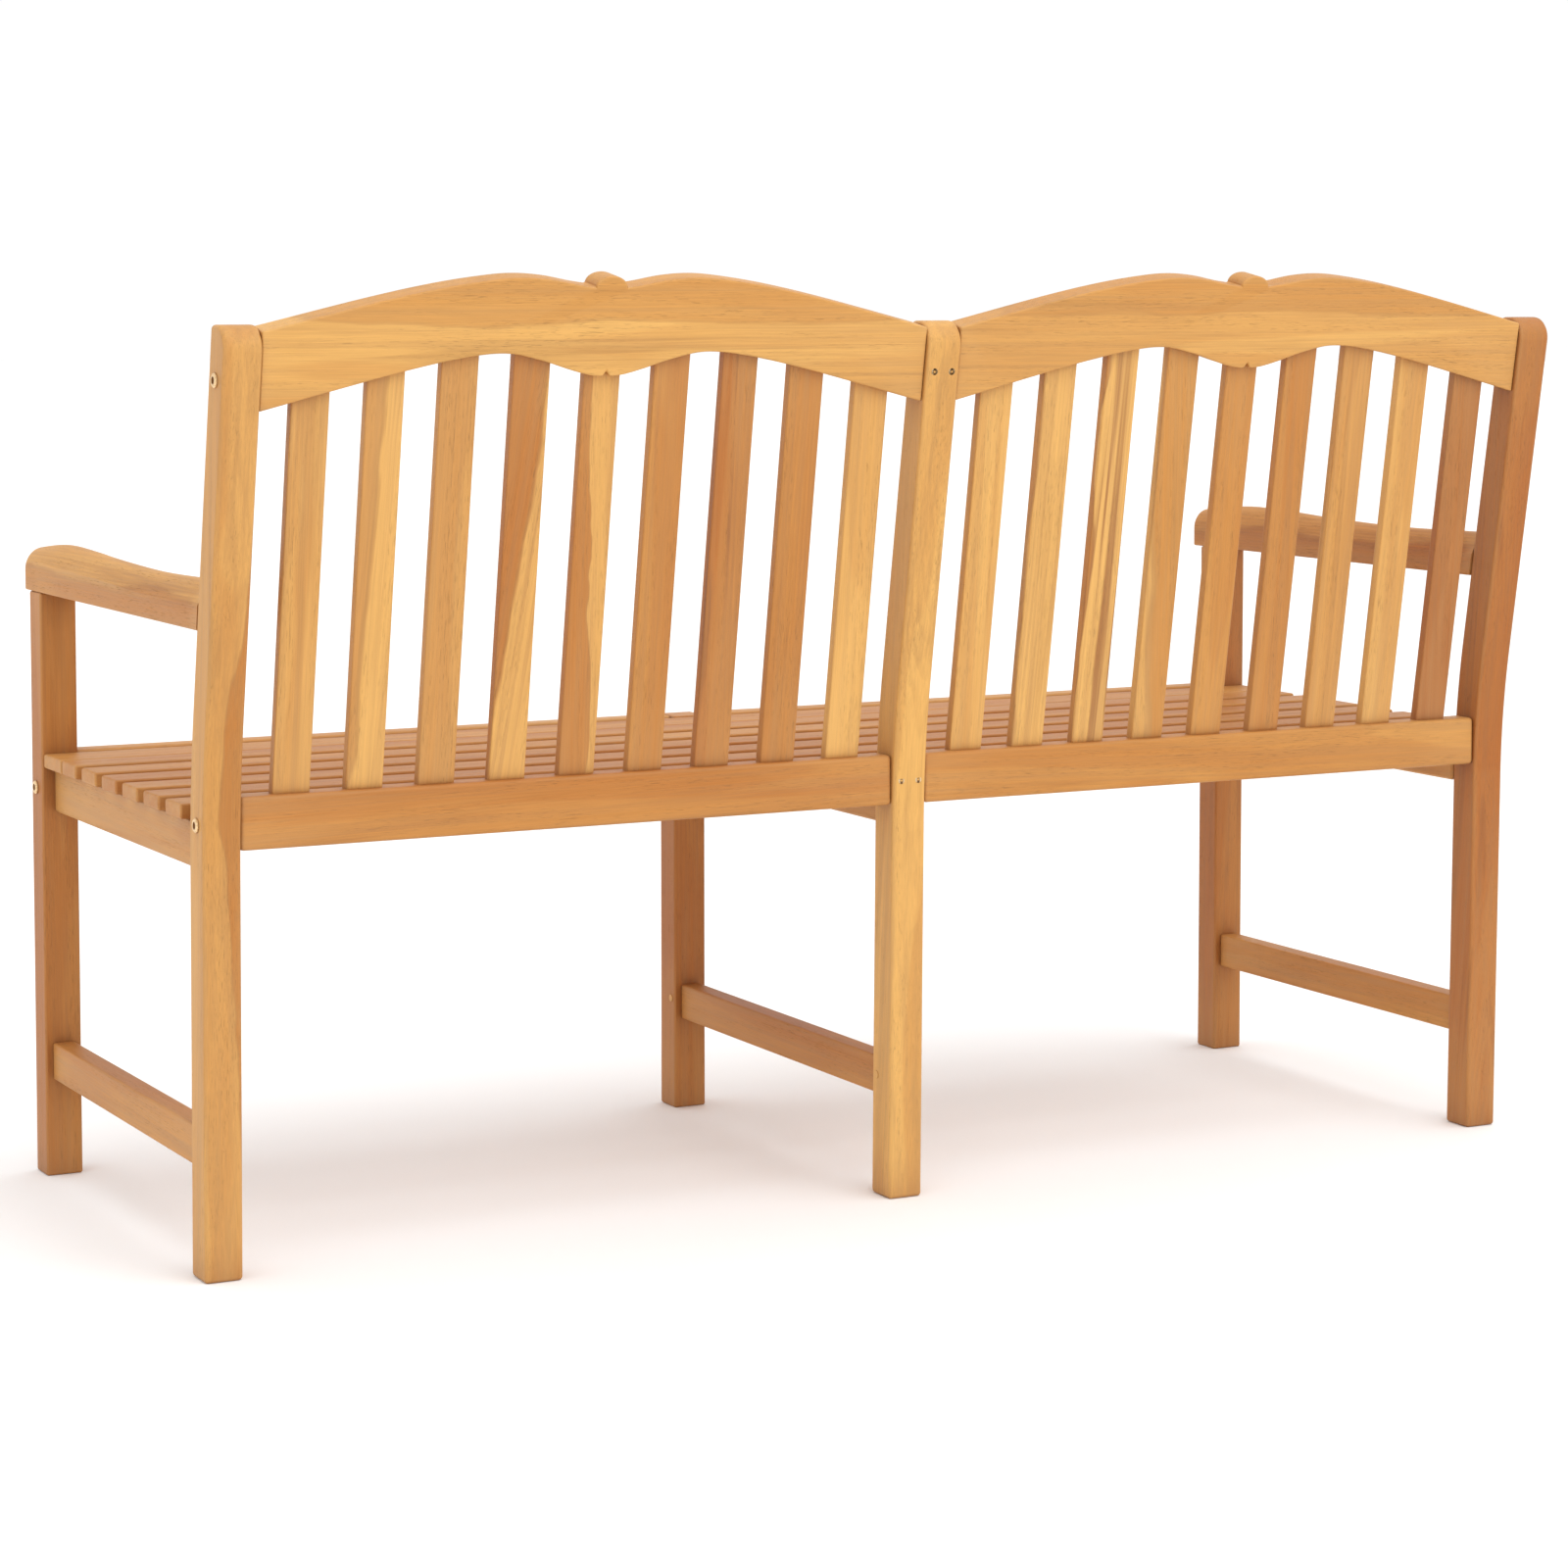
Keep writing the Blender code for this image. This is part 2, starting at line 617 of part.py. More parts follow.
def make_stretchers():
    for name, side in SIDES.items():
        x = side * LEG_X
        shape = box((x - STRETCHER_WIDTH / 2, x + STRETCHER_WIDTH / 2),
                    (LEG_BACK + GAP, post_front(STRETCHER[0]) - GAP), STRETCHER)
        bores = [peg_bore(y, z) for y, z in peg_sites()] if not side else []
        plank(f"stretcher_{name}", shape, wood(f"stretcher_{name}", 0.45), stretcher_tenons(side), bores)


def make_rear_rails():
    for name, side in BAYS.items():
        shape = box((side * (BAY_INNER + GAP), side * (BAY_OUTER - GAP)),
                    (REAR_RAIL_BACK - REAR_RAIL_DEPTH, REAR_RAIL_BACK), REAR_RAIL)
        piece = plank(f"rear_seat_rail_{name}", shape, wood(f"rear_seat_rail_{name}", 0.2),
                      rear_rail_tenons(side), [bolt_bore(side, *bolt_sites()["rear_rail"])], ease=0.004, segments=2)
        bore_for_screws(piece, ("rear_rail",), (name,), POST_SCREW_LENGTH)
        boolean(piece, slat_mortises(side), "DIFFERENCE", frame=slat_frame)


def make_front_rails():
    leg_inner = LEG_X - LEG_WIDTH / 2
    for name, side in BAYS.items():
        shape = box((side * (LEG_WIDTH / 2 + GAP), side * (leg_inner - GAP)),
                    (FRONT_RAIL_FRONT, FRONT_RAIL_FRONT + FRONT_RAIL_DEPTH), FRONT_RAIL)
        piece = plank(f"front_seat_rail_{name}", shape, wood(f"front_seat_rail_{name}", 0.25),
                      front_rail_tenons(side), [bolt_bore(side, *bolt_sites()["front_rail"])], ease=0.004, segments=2)
        bore_for_screws(piece, ("front_rail",), (name,), LEG_SCREW_LENGTH)


def slat_x(side, index):
    return side * BAY_X + side * (index - (SLAT_COUNT - 1) / 2) * SLAT_PITCH


def slat_top(index):
    """Length of a slat above the rear rail, up to a tenon's length inside the crest rail."""
    offset = abs(index - (SLAT_COUNT - 1) / 2) * SLAT_PITCH
    nearest = max(offset - SLAT_WIDTH / 2, 0.0)
    edge = max(crest_arch_height(nearest), crest_arch_height(offset + SLAT_WIDTH / 2))
    return (edge - REAR_RAIL[1]) / cos(atan(SLAT_SLOPE)) + SLAT_TENON


def slat_box(side, index):
    """A back slat in the slats' raked frame, with its housed ends."""
    x = slat_x(side, index)
    return box((x - SLAT_WIDTH / 2, x + SLAT_WIDTH / 2),
               (-SLAT_THICKNESS / 2, SLAT_THICKNESS / 2), (-SLAT_TENON, slat_top(index)))


def slat_mortises(side):
    return [grown(slat_box(side, index), FIT) for index in range(SLAT_COUNT)]


def make_back_slats():
    for name, side in BAYS.items():
        for index in range(SLAT_COUNT):
            label = f"back_slat_{name}_{index + 1}"
            tint = 0.15 + 0.5 * ((index * 5 + (side < 0) * 3) % 7) / 7
            plank(label, slat_box(side, index), wood(label, tint), ease=0.0015, parent=slat_frame)


def make_crests():
    for name, side in BAYS.items():
        label = f"crest_rail_{name}"
        up = [Vector((p.x, (p.y - POST_TOP) / cos(RAKE))) for p in crest_outline()]
        piece = sawn_outline(label, up, CREST_THICKNESS, wood(label, 0.15), crest_frame)
        piece.location = (side * BAY_X, 0.0, 0.0)
        piece.rotation_euler = (pi / 2, 0.0, 0.0)
        boolean(piece, crest_tenons(side), "UNION")
        boolean(piece, slat_mortises(side), "DIFFERENCE", frame=slat_frame)
        bore_for_screws(piece, ("crest",), (name,), POST_SCREW_LENGTH)
        boolean(piece, [bolt_bore(side, *bolt_sites()["crest"])], "DIFFERENCE", frame=base)


def make_seat_slats():
    for number, (front, back) in enumerate(seat_slat_edges(), 1):
        label = f"seat_slat_{number}"
        half = SEAT_SLAT_LENGTH / 2
        bottom = SEAT_TOP - SEAT_SLAT_THICKNESS
        holes = []
        for side in (1, 0, -1):
            holes.append(slat_screw(bearer_x(side), (front + back) / 2, BORE_CLEARANCE)[1])
        piece = plank(label, box((-half, half), (front, back), (bottom, SEAT_TOP)), wood(label, 0.3), ease=0.002)
        boolean(piece, holes, "DIFFERENCE", 8)


def arm_section(y):
    """Half width, top of the upright sides and crown height of the armrest at y, with its rounded nose."""
    half = ARM_WIDTH / 2
    sides = height_on(smooth_path([Vector(knot) for knot in ARM_SIDES], 4), y)
    crown = height_on(smooth_path([Vector(knot) for knot in ARM_CROWN], 4), y)
    from_tip = y - ARM_NOSE
    if from_tip < ARM_TIP_ROUND:
        drawn_in = ARM_TIP_ROUND * (1 - sqrt(1 - (1 - from_tip / ARM_TIP_ROUND) ** 2))
        half -= drawn_in
        crown -= drawn_in
    return half, sides, crown


def arm_ring(y, arc_steps=8):
    """Cross-section of the armrest: flat bottom, upright sides, and a rounded top that meets the sides
    smoothly at the nose and at an edge further back."""
    half, sides, crown = arm_section(y)
    edge = 0.0015
    power = 1 + min(1.0, (y - ARM_NOSE) / ARM_FAIRING)
    ring = [(-half, ARM_BOTTOM + edge), (-half + edge, ARM_BOTTOM),
            (half - edge, ARM_BOTTOM), (half, ARM_BOTTOM + edge)]
    for step in range(arc_steps + 1):
        angle = pi * step / arc_steps
        ring.append((half * cos(angle), sides + (crown - sides) * max(0.0, sin(angle)) ** power))
    return ring


def make_armrests():
    """Each armrest is a loft along Y, from the raked face of the rear post to the nose."""
    nose_steps = 4
    nose = [ARM_NOSE + ARM_TIP_ROUND * (1 - cos(pi / 2 * step / nose_steps)) for step in range(nose_steps + 1)]
    length_steps = 13
    reach = post_front(ARM_BOTTOM) - nose[-1]
    body = [nose[-1] + reach * step / length_steps for step in range(1, length_steps + 1)]
    for name, side in BAYS.items():
        bm = bmesh.new()
        rings = []
        for y in nose + body:
            last = y == body[-1]
            ring = []
            for across, z in arm_ring(y):
                along = post_front(z) - GAP if last else y
                ring.append(bm.verts.new((across, along, z)))
            rings.append(ring)
        for ring, following in zip(rings, rings[1:]):
            for index in range(len(ring)):
                after = (index + 1) % len(ring)
                bm.faces.new((ring[index], ring[after], following[after], following[index]))
        bm.faces.new(rings[0])
        bm.faces.new(rings[-1][::-1])
        bmesh.ops.recalc_face_normals(bm, faces=bm.faces)
        label = f"armrest_{name}"
        mesh = bpy.data.meshes.new(label)
        bm.to_mesh(mesh)
        bm.free()
        piece = add_piece(label, mesh, wood(label, 0.4))
        piece.location = (side * LEG_X, 0.0, 0.0)
        leg, post = arm_tenons(side)
        boolean(piece, [post], "UNION")
        boolean(piece, [grown(leg, FIT)], "DIFFERENCE")


# ---- the fasteners --------------------------------------------------------------------------------------
def make_bolts():
    """Three lag bolts in each end, with low domed heads and hexagon sockets."""
    zinc = surface("yellow_zinc", (0.78, 0.62, 0.34), 0.35, 0.9)
    dome = 0.0012
    tip = 0.005
    profile = [(0.0, BOLT_HEAD_HEIGHT), (BOLT_HEAD_RADIUS - dome, BOLT_HEAD_HEIGHT),
               (BOLT_HEAD_RADIUS, BOLT_HEAD_HEIGHT - dome), (BOLT_HEAD_RADIUS, 0.0), (BOLT_RADIUS, 0.0),
               (BOLT_RADIUS, tip - BOLT_LENGTH), (0.0, -BOLT_LENGTH)]
    for name, side in BAYS.items():
        for joint, (y, z) in bolt_sites().items():
            under_head = side * (LENGTH / 2 + GAP)
            bolt = turned(f"frame_bolt_{joint}_{name}", profile, zinc, (under_head, y, z), (side, 0.0, 0.0), 16)
            floor = under_head + side * BOLT_SOCKET_FLOOR
            outside = under_head + side * 2 * BOLT_HEAD_HEIGHT
            socket = rod((floor, y, z), (outside, y, z), BOLT_SOCKET_RADIUS)
            boolean(bolt, [socket], "DIFFERENCE", 6)


def make_screws():
    """Countersunk screws that lock the tenons in the middle post and the middle front leg."""
    steel = surface("screw_steel", (0.45, 0.38, 0.28), 0.4, 0.9)
    recess_radius = 0.0014
    recess_depth = 0.0018
    tip = 0.003
    for (joint, name), (head, into) in screw_sites().items():
        length = LEG_SCREW_LENGTH if joint == "front_rail" else POST_SCREW_LENGTH
        profile = [(0.0, 0.0), (SCREW_HEAD_RADIUS, 0.0), (SCREW_RADIUS, -SCREW_CONE),
                   (SCREW_RADIUS, tip - length), (0.0, -length)]
        screw = turned(f"tenon_screw_{joint}_{name}", profile, steel, head, -into, 10)
        boolean(screw, [rod(head - 0.002 * into, head + recess_depth * into, recess_radius)], "DIFFERENCE", 4)


def make_pegs():
    """Wooden pegs across the middle stretcher's tenons, in from the left face of the post and the leg."""
    faces = {"rear": POST_WIDTH / 2, "front": LEG_WIDTH / 2}
    proud = 0.0006
    for (y, z), (name, face) in zip(peg_sites(), faces.items()):
        label = f"stretcher_peg_{name}"
        peg = rod((face + proud, y, z), (-PEG_END, y, z), PEG_RADIUS)
        add_piece(label, mesh_of(label, [peg], 12), wood(label, 0.1))


def centre_on_footprint():
    """Moves the bench so that the middle of its box, at the ground, is the origin."""
    bpy.context.view_layer.update()
    depsgraph = bpy.context.evaluated_depsgraph_get()
    corners = []
    for piece in bench.objects:
        if piece.type == "MESH":
            solid = piece.evaluated_get(depsgraph)
            corners += [solid.matrix_world @ Vector(corner) for corner in solid.bound_box]
    for axis in (0, 1):
        values = [corner[axis] for corner in corners]
        base.location[axis] = -(min(values) + max(values)) / 2


clear_scene()
base = bpy.data.objects.new("bench_base", None)
bench.objects.link(base)
crest_frame = raked_frame("crest_frame", POST_TOP, post_middle(POST_TOP), RAKE)
slat_frame = raked_frame("slat_frame", REAR_RAIL[1], rear_rail_y() + 0.0012, atan(SLAT_SLOPE))
bpy.context.view_layer.update()

make_posts()
make_front_legs()
make_bearers()
make_stretchers()
make_rear_rails()
make_front_rails()
make_back_slats()
make_crests()
make_seat_slats()
make_armrests()
make_bolts()
make_screws()
make_pegs()
centre_on_footprint()
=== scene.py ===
"""Garden bench: its visible wood and metal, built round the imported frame.

Metres, +Z up. The sitter faces -Y and the sitter's left is +X. Heights are above the ground, and y is
laid out from the back edge of the rear posts' feet, then moved to the frame by at_foot().
"""

import random
from math import atan, cos, pi, radians, sin, sqrt, tan

import bmesh
import bpy
from mathutils import Euler, Matrix, Vector


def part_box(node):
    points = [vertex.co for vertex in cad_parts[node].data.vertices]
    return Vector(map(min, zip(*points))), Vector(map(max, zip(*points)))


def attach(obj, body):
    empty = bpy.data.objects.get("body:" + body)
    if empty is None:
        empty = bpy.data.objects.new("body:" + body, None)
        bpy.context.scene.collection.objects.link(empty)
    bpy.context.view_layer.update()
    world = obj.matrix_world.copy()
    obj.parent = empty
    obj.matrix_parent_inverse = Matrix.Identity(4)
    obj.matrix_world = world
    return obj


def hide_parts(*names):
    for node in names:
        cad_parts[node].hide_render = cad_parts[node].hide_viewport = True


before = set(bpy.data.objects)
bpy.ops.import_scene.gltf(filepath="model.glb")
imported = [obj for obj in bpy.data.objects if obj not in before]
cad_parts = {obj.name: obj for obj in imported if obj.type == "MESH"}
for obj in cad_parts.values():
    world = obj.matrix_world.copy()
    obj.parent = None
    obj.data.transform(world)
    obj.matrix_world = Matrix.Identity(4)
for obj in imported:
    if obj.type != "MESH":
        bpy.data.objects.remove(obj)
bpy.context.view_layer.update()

# ---- shape of the sawn parts ----------------------------------------------------------------------------
LEAN = radians(0.8)             # of the foot of a rear post
RAKE = radians(9.75)            # of its upper part and of the crest
KINK_HEIGHT = 0.463             # where a post's two straight back edges would meet
BEND_REACH = 0.070
POST_DEPTH = 0.0395
POST_CROWN = 0.022
SLAT_TILT = atan(0.1636)        # of the back slats
SLAT_THICKNESS = 0.0115
SLAT_INSERT = 0.009             # how far a slat's shown end stops short of its mortise's floor
SLAT_EASE = 0.0018
CREST_THICKNESS = 0.030
CREST_GAP = 0.0003              # between each end of a crest rail and its post
ARM_OVERHANG = 0.5550           # from the posts' back edge forward to the tip of an armrest
ARM_TIP_ROUND = 0.006           # rounding of the nose, in plan and from the side
ARM_FAIRING = 0.050             # behind the tip, over which the side's upper edge grows sharp
ARM_EDGE = 0.0018               # easing of the two lower edges
# Along an armrest, as (y, height): the middle of its rounded top, and the top of its upright sides.
ARM_CROWN = [(-0.5550, 0.6565), (-0.5000, 0.6622), (-0.4450, 0.6652), (-0.3700, 0.6634), (-0.2850, 0.6600),
             (-0.1550, 0.6575), (-0.0200, 0.6600)]
ARM_SIDES = [(-0.5550, 0.6340), (-0.5150, 0.6440), (-0.4400, 0.6430), (-0.3000, 0.6405), (-0.1760, 0.6365),
             (-0.0200, 0.6365)]

BAYS = {"left": 1, "right": -1}
SLAT_COUNT = 9
SEAT_SLAT_COUNT = 7

foot_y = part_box("armrest_left")[0].y + ARM_OVERHANG


def at_foot(y):
    return foot_y + y


# ---- shader nodes ---------------------------------------------------------------------------------------
def set_or_link(tree, socket, value):
    if isinstance(value, bpy.types.NodeSocket):
        tree.links.new(value, socket)
    else:
        socket.default_value = value


def add_node(tree, kind, settings=None, **inputs):
    """A node with its settings. An input is named with _ for its spaces, or _0, _1... by its index."""
    node = tree.nodes.new(kind)
    for key, value in (settings or {}).items():
        setattr(node, key, value)
    for key, value in inputs.items():
        socket = node.inputs[int(key[1:])] if key[0] == "_" else node.inputs[key.replace("_", " ")]
        set_or_link(tree, socket, value)
    return node


def math_node(tree, operation, *values):
    inputs = {f"_{index}": value for index, value in enumerate(values)}
    return add_node(tree, "ShaderNodeMath", {"operation": operation}, **inputs).outputs[0]


def vector_node(tree, operation, *values):
    inputs = {f"_{index}": value for index, value in enumerate(values)}
    return add_node(tree, "ShaderNodeVectorMath", {"operation": operation}, **inputs).outputs[0]


def ramp_between(tree, value, low, high):
    """0 at low, 1 at high, smooth between; low may be above high."""
    smooth = {"interpolation_type": "SMOOTHSTEP"}
    node = add_node(tree, "ShaderNodeMapRange", smooth, Value=value, From_Min=low, From_Max=high)
    return node.outputs[0]


def blend_colours(tree, factor, first, second, kind="MIX"):
    settings = {"data_type": "RGBA", "blend_type": kind}
    return add_node(tree, "ShaderNodeMix", settings, _0=factor, _6=first, _7=second).outputs[2]


def ambient_light(tree, distance, samples):
    """How open a point is to its surroundings: 1 in the open, 0 where it is shut in."""
    settings = {"samples": samples}
    return add_node(tree, "ShaderNodeAmbientOcclusion", settings, Distance=distance).outputs["AO"]


def new_material(name):
    """A material, its node tree and the sockets of its Principled shader."""
    material = bpy.data.materials.new(name)
    material.use_nodes = True
    return material, material.node_tree, material.node_tree.nodes["Principled BSDF"].inputs


def grain_noise(tree, vector, along, across, detail=2.0, rough=0.55, distortion=0.0):
    """Noise drawn out along X: its features per metre along the grain and across it."""
    stretched = vector_node(tree, "MULTIPLY", vector, (along, across, across))
    return add_node(tree, "ShaderNodeTexNoise", Vector=stretched, Scale=1.0, Detail=detail,
                    Roughness=rough, Distortion=distortion).outputs["Fac"]


# ---- teak -----------------------------------------------------------------------------------------------
PALE = (0.70, 0.382, 0.102)
HONEY = (0.58, 0.288, 0.076)
AMBER = (0.47, 0.178, 0.026)
RUSSET = (0.385, 0.118, 0.014)
CHESTNUT = (0.32, 0.080, 0.008)
UMBER = (0.17, 0.050, 0.012)
TONES = (PALE, HONEY, AMBER, RUSSET, CHESTNUT)
# tint of the painted shade in gaps, joints and between slats
PAINTED_SHADE_TINT = (0.58, 0.42, 0.32, 1.0)
# colour of the pale edges: partly wear, partly painted highlight
PALE_WEAR_AND_HIGHLIGHT = (0.78, 0.48, 0.20, 1.0)
RINGS_PER_METRE = 290.0
ASKEW = 1.6                     # degrees that a piece's grain may run off its length
PITH_NEAREST, PITH_FURTHEST = 0.03, 0.10
TRUNK_REACH = 9.0               # how far along the trunk, either way, a piece may be cut from
GRAIN_TURN = {"X": (0.0, 0.0, 0.0), "Y": (0.0, 0.0, -pi / 2), "Z": (0.0, pi / 2, 0.0)}


def teak_group():
    """Oiled teak in grain space: X runs along the grain, and Y and Z are measured from the tree's pith."""
    tree = bpy.data.node_groups.new("teak", "ShaderNodeTree")
    sockets = (("INPUT", "NodeSocketVector", ("Vector",)),
               ("INPUT", "NodeSocketColor", ("Light", "Deep", "Dark", "Zone")),
               ("INPUT", "NodeSocketFloat",
                ("Figure", "Streaks", "Zone Amount", "Zone Start", "Zone End")),
               ("OUTPUT", "NodeSocketColor", ("Color",)),
               ("OUTPUT", "NodeSocketFloat", ("Roughness", "Height")))
    for in_out, kind, names in sockets:
        for name in names:
            tree.interface.new_socket(name, in_out=in_out, socket_type=kind)
    given = tree.nodes.new("NodeGroupInput").outputs
    result = tree.nodes.new("NodeGroupOutput").inputs
    point = given["Vector"]

    # Distance from the pith, on a trunk that isn't quite straight.
    stretched = vector_node(tree, "MULTIPLY", point, (2.2, 16.0, 16.0))
    wander = add_node(tree, "ShaderNodeTexNoise", Vector=stretched, Scale=1.0, Detail=2.0, Roughness=0.5)
    shifted = vector_node(tree, "MULTIPLY_ADD", wander.outputs["Color"], (0.0, 0.016, 0.016), point)
    parts = add_node(tree, "ShaderNodeSeparateXYZ", Vector=shifted).outputs
    squares = math_node(tree, "ADD", math_node(tree, "MULTIPLY", parts[1], parts[1]),
                        math_node(tree, "MULTIPLY", parts[2], parts[2]))
    radius = math_node(tree, "SQRT", squares)

    # Growth rings: each grows darker outwards and then ends sharply.
    ring = math_node(tree, "FRACT", math_node(tree, "MULTIPLY", radius, RINGS_PER_METRE))
    late = math_node(tree, "MULTIPLY", ramp_between(tree, ring, 0.25, 0.92),
                     ramp_between(tree, ring, 1.0, 0.93))
    ring_strength = ramp_between(tree, grain_noise(tree, point, 3.0, 22.0), 0.35, 0.7)
    figure = math_node(tree, "MULTIPLY", math_node(tree, "MULTIPLY", late, ring_strength), given["Figure"])

    broad = grain_noise(tree, point, 1.6, 17.0, 3.0)
    patch = grain_noise(tree, point, 1.7, 21.0, 2.0, 0.45, 0.7)
    bands = grain_noise(tree, point, 2.2, 120.0, 4.0, 0.6, 0.4)
    fibre = grain_noise(tree, point, 16.0, 900.0, 3.0, 0.65)
    pores = ramp_between(tree, grain_noise(tree, point, 75.0, 1500.0, 1.0), 0.60, 0.70)
    pore_field = ramp_between(tree, grain_noise(tree, point, 4.0, 90.0), 0.40, 0.62)
    pores = math_node(tree, "MULTIPLY", pores, pore_field)
    streaks = ramp_between(tree, grain_noise(tree, point, 1.5, 70.0, 3.0, 0.55, 0.5), 0.57, 0.69)

    toning = math_node(tree, "MULTIPLY_ADD", ramp_between(tree, patch, 0.47, 0.53), 0.45,
                       math_node(tree, "MULTIPLY", ramp_between(tree, broad, 0.32, 0.68), 0.55))
    colour = blend_colours(tree, toning, given["Light"], given["Deep"])

    # Sapwood or heartwood beyond a radius that sways, with the thin dark line that runs along its edge.
    sway = grain_noise(tree, point, 5.0, 12.0, 3.0, 0.5, 0.3)
    zone_edge = math_node(tree, "MULTIPLY_ADD", bands, 0.005, radius)
    zone_edge = math_node(tree, "MULTIPLY_ADD", math_node(tree, "SUBTRACT", sway, 0.5), 0.030, zone_edge)
    zone = ramp_between(tree, zone_edge, given["Zone Start"], given["Zone End"])
    zone_rim = math_node(tree, "MULTIPLY", zone, math_node(tree, "SUBTRACT", 1.0, zone))
    line = math_node(tree, "MULTIPLY", zone_rim, math_node(tree, "MULTIPLY", given["Zone Amount"], 2.4))
    zone_share = math_node(tree, "MULTIPLY", zone, given["Zone Amount"])
    colour = blend_colours(tree, zone_share, colour, given["Zone"])
    banding = math_node(tree, "MULTIPLY", ramp_between(tree, bands, 0.42, 0.68), 0.38)
    rings = math_node(tree, "MULTIPLY", figure, 0.26)
    for darkness in (line, banding, rings, math_node(tree, "MULTIPLY", streaks, given["Streaks"])):
        colour = blend_colours(tree, darkness, colour, given["Dark"])
    shade = math_node(tree, "MULTIPLY_ADD", fibre, 0.44, 0.79)
    shade = math_node(tree, "SUBTRACT", shade, math_node(tree, "MULTIPLY", pores, 0.30))
    grey = add_node(tree, "ShaderNodeCombineColor", Red=shade, Green=shade, Blue=shade).outputs[0]
    colour = blend_colours(tree, 1.0, colour, grey, "MULTIPLY")

    # Painted shade: wood shut in by its neighbours, in gaps, joints and between the slats, is painted
    # darker.
    openness = ambient_light(tree, 0.045, 4)
    painted_shade = math_node(tree, "MULTIPLY", ramp_between(tree, openness, 0.97, 0.35), 0.85)
    colour = blend_colours(tree, painted_shade, colour, blend_colours(tree, 1.0, colour, PAINTED_SHADE_TINT, "MULTIPLY"))
    # Rounded edges are painted paler: partly wear, and partly a painted highlight where they catch the
    # light.
    pointed = add_node(tree, "ShaderNodeNewGeometry").outputs["Pointiness"]
    wear_and_highlight = math_node(tree, "MULTIPLY", ramp_between(tree, pointed, 0.505, 0.56),
                    math_node(tree, "MULTIPLY", bands, 0.45))
    colour = blend_colours(tree, wear_and_highlight, colour, PALE_WEAR_AND_HIGHLIGHT)

    rough = math_node(tree, "ADD", math_node(tree, "MULTIPLY_ADD", fibre, 0.22, 0.36),
                      math_node(tree, "MULTIPLY", pores, 0.15))
    height = math_node(tree, "SUBTRACT", math_node(tree, "MULTIPLY_ADD", figure, 0.35, fibre), pores)
    for name, value in (("Color", colour), ("Roughness", rough), ("Height", height)):
        tree.links.new(value, result[name])
    return tree


TEAK = teak_group()


def mixed(first, second, share):
    return tuple(a + (b - a) * share for a, b in zip(first, second))


def teak(name, centre, along, tone=0.3, streaks=0.25, figure=0.8, tilt=0.0, zone=None, zone_radius=0.0,
         zone_width=0.006, zone_amount=0.0, pith=None, askew=None):
    """The wood of one piece. tone runs from pale (0) to chestnut (1). zone is the colour beyond
    zone_radius of the pith, or within it where zone_width is negative. pith is where the piece's centre
    lies from the pith, and askew the degrees that the grain is turned by, both random unless given."""
    rng = random.Random(name)
    place_on_scale = tone * (len(TONES) - 1)
    index = min(int(place_on_scale), len(TONES) - 2)
    base = mixed(TONES[index], TONES[index + 1], place_on_scale - index)
    light = mixed(base, PALE, 0.24)
    deep = mixed(base, RUSSET, 0.42)
    dark = mixed(base, UMBER, 0.62)
    askew = askew or (rng.uniform(-ASKEW, ASKEW), rng.uniform(-ASKEW, ASKEW))
    turn = Euler((tilt, 0.0, 0.0))
    turn.rotate(Euler(GRAIN_TURN[along]))
    turn.rotate(Euler((0.0, radians(askew[0]), radians(askew[1]))))
    if pith is None:
        angle = rng.uniform(0, 2 * pi)
        distance = rng.uniform(PITH_NEAREST, PITH_FURTHEST)
        pith = (distance * cos(angle), distance * sin(angle))
    offset = Vector((rng.uniform(-TRUNK_REACH, TRUNK_REACH), *pith)) - turn.to_matrix() @ Vector(centre)

    material, tree, shader = new_material(f"teak_{name}")
    place = add_node(tree, "ShaderNodeTexCoord").outputs["Object"]
    grain = add_node(tree, "ShaderNodeMapping", Vector=place, Location=offset, Rotation=turn).outputs[0]
    wood = add_node(tree, "ShaderNodeGroup", {"node_tree": TEAK}, Vector=grain, Light=(*light, 1.0),
                    Deep=(*deep, 1.0), Dark=(*dark, 1.0), Zone=(*(zone or dark), 1.0), Figure=figure,
                    Streaks=streaks, Zone_Amount=zone_amount, Zone_Start=zone_radius,
                    Zone_End=zone_radius + zone_width).outputs
    bump = add_node(tree, "ShaderNodeBump", Height=wood["Height"], Strength=0.42, Distance=0.0005)
    tree.links.new(wood["Color"], shader["Base Color"])
    tree.links.new(wood["Roughness"], shader["Roughness"])
    tree.links.new(bump.outputs["Normal"], shader["Normal"])
    shader["Specular IOR Level"].default_value = 0.28
    return material


# ---- metal ----------------------------------------------------------------------------------------------
# colour of the recesses: painted shade with some oxide
RECESS_SHADE_AND_OXIDE = (0.035, 0.022, 0.012, 1.0)
# painted shade in a socket: brown at its rim and nearly black in its depth
SOCKET_SHADE = (0.40, 0.22, 0.09, 1.0)
SOCKET_SHADOW = (0.07, 0.04, 0.02, 1.0)
BOLT_SOCKET_RADIUS = 0.0038
SCREW_RECESS_RADIUS = 0.0018
# Bright and dull colours of the plating.
BOLT_ZINC = ((0.90, 0.68, 0.40), (0.70, 0.46, 0.22))
SCREW_ZINC = ((0.80, 0.62, 0.38), (0.58, 0.40, 0.21))
SEAT_SCREW_STEEL = ((0.85, 0.66, 0.42), (0.62, 0.42, 0.22))


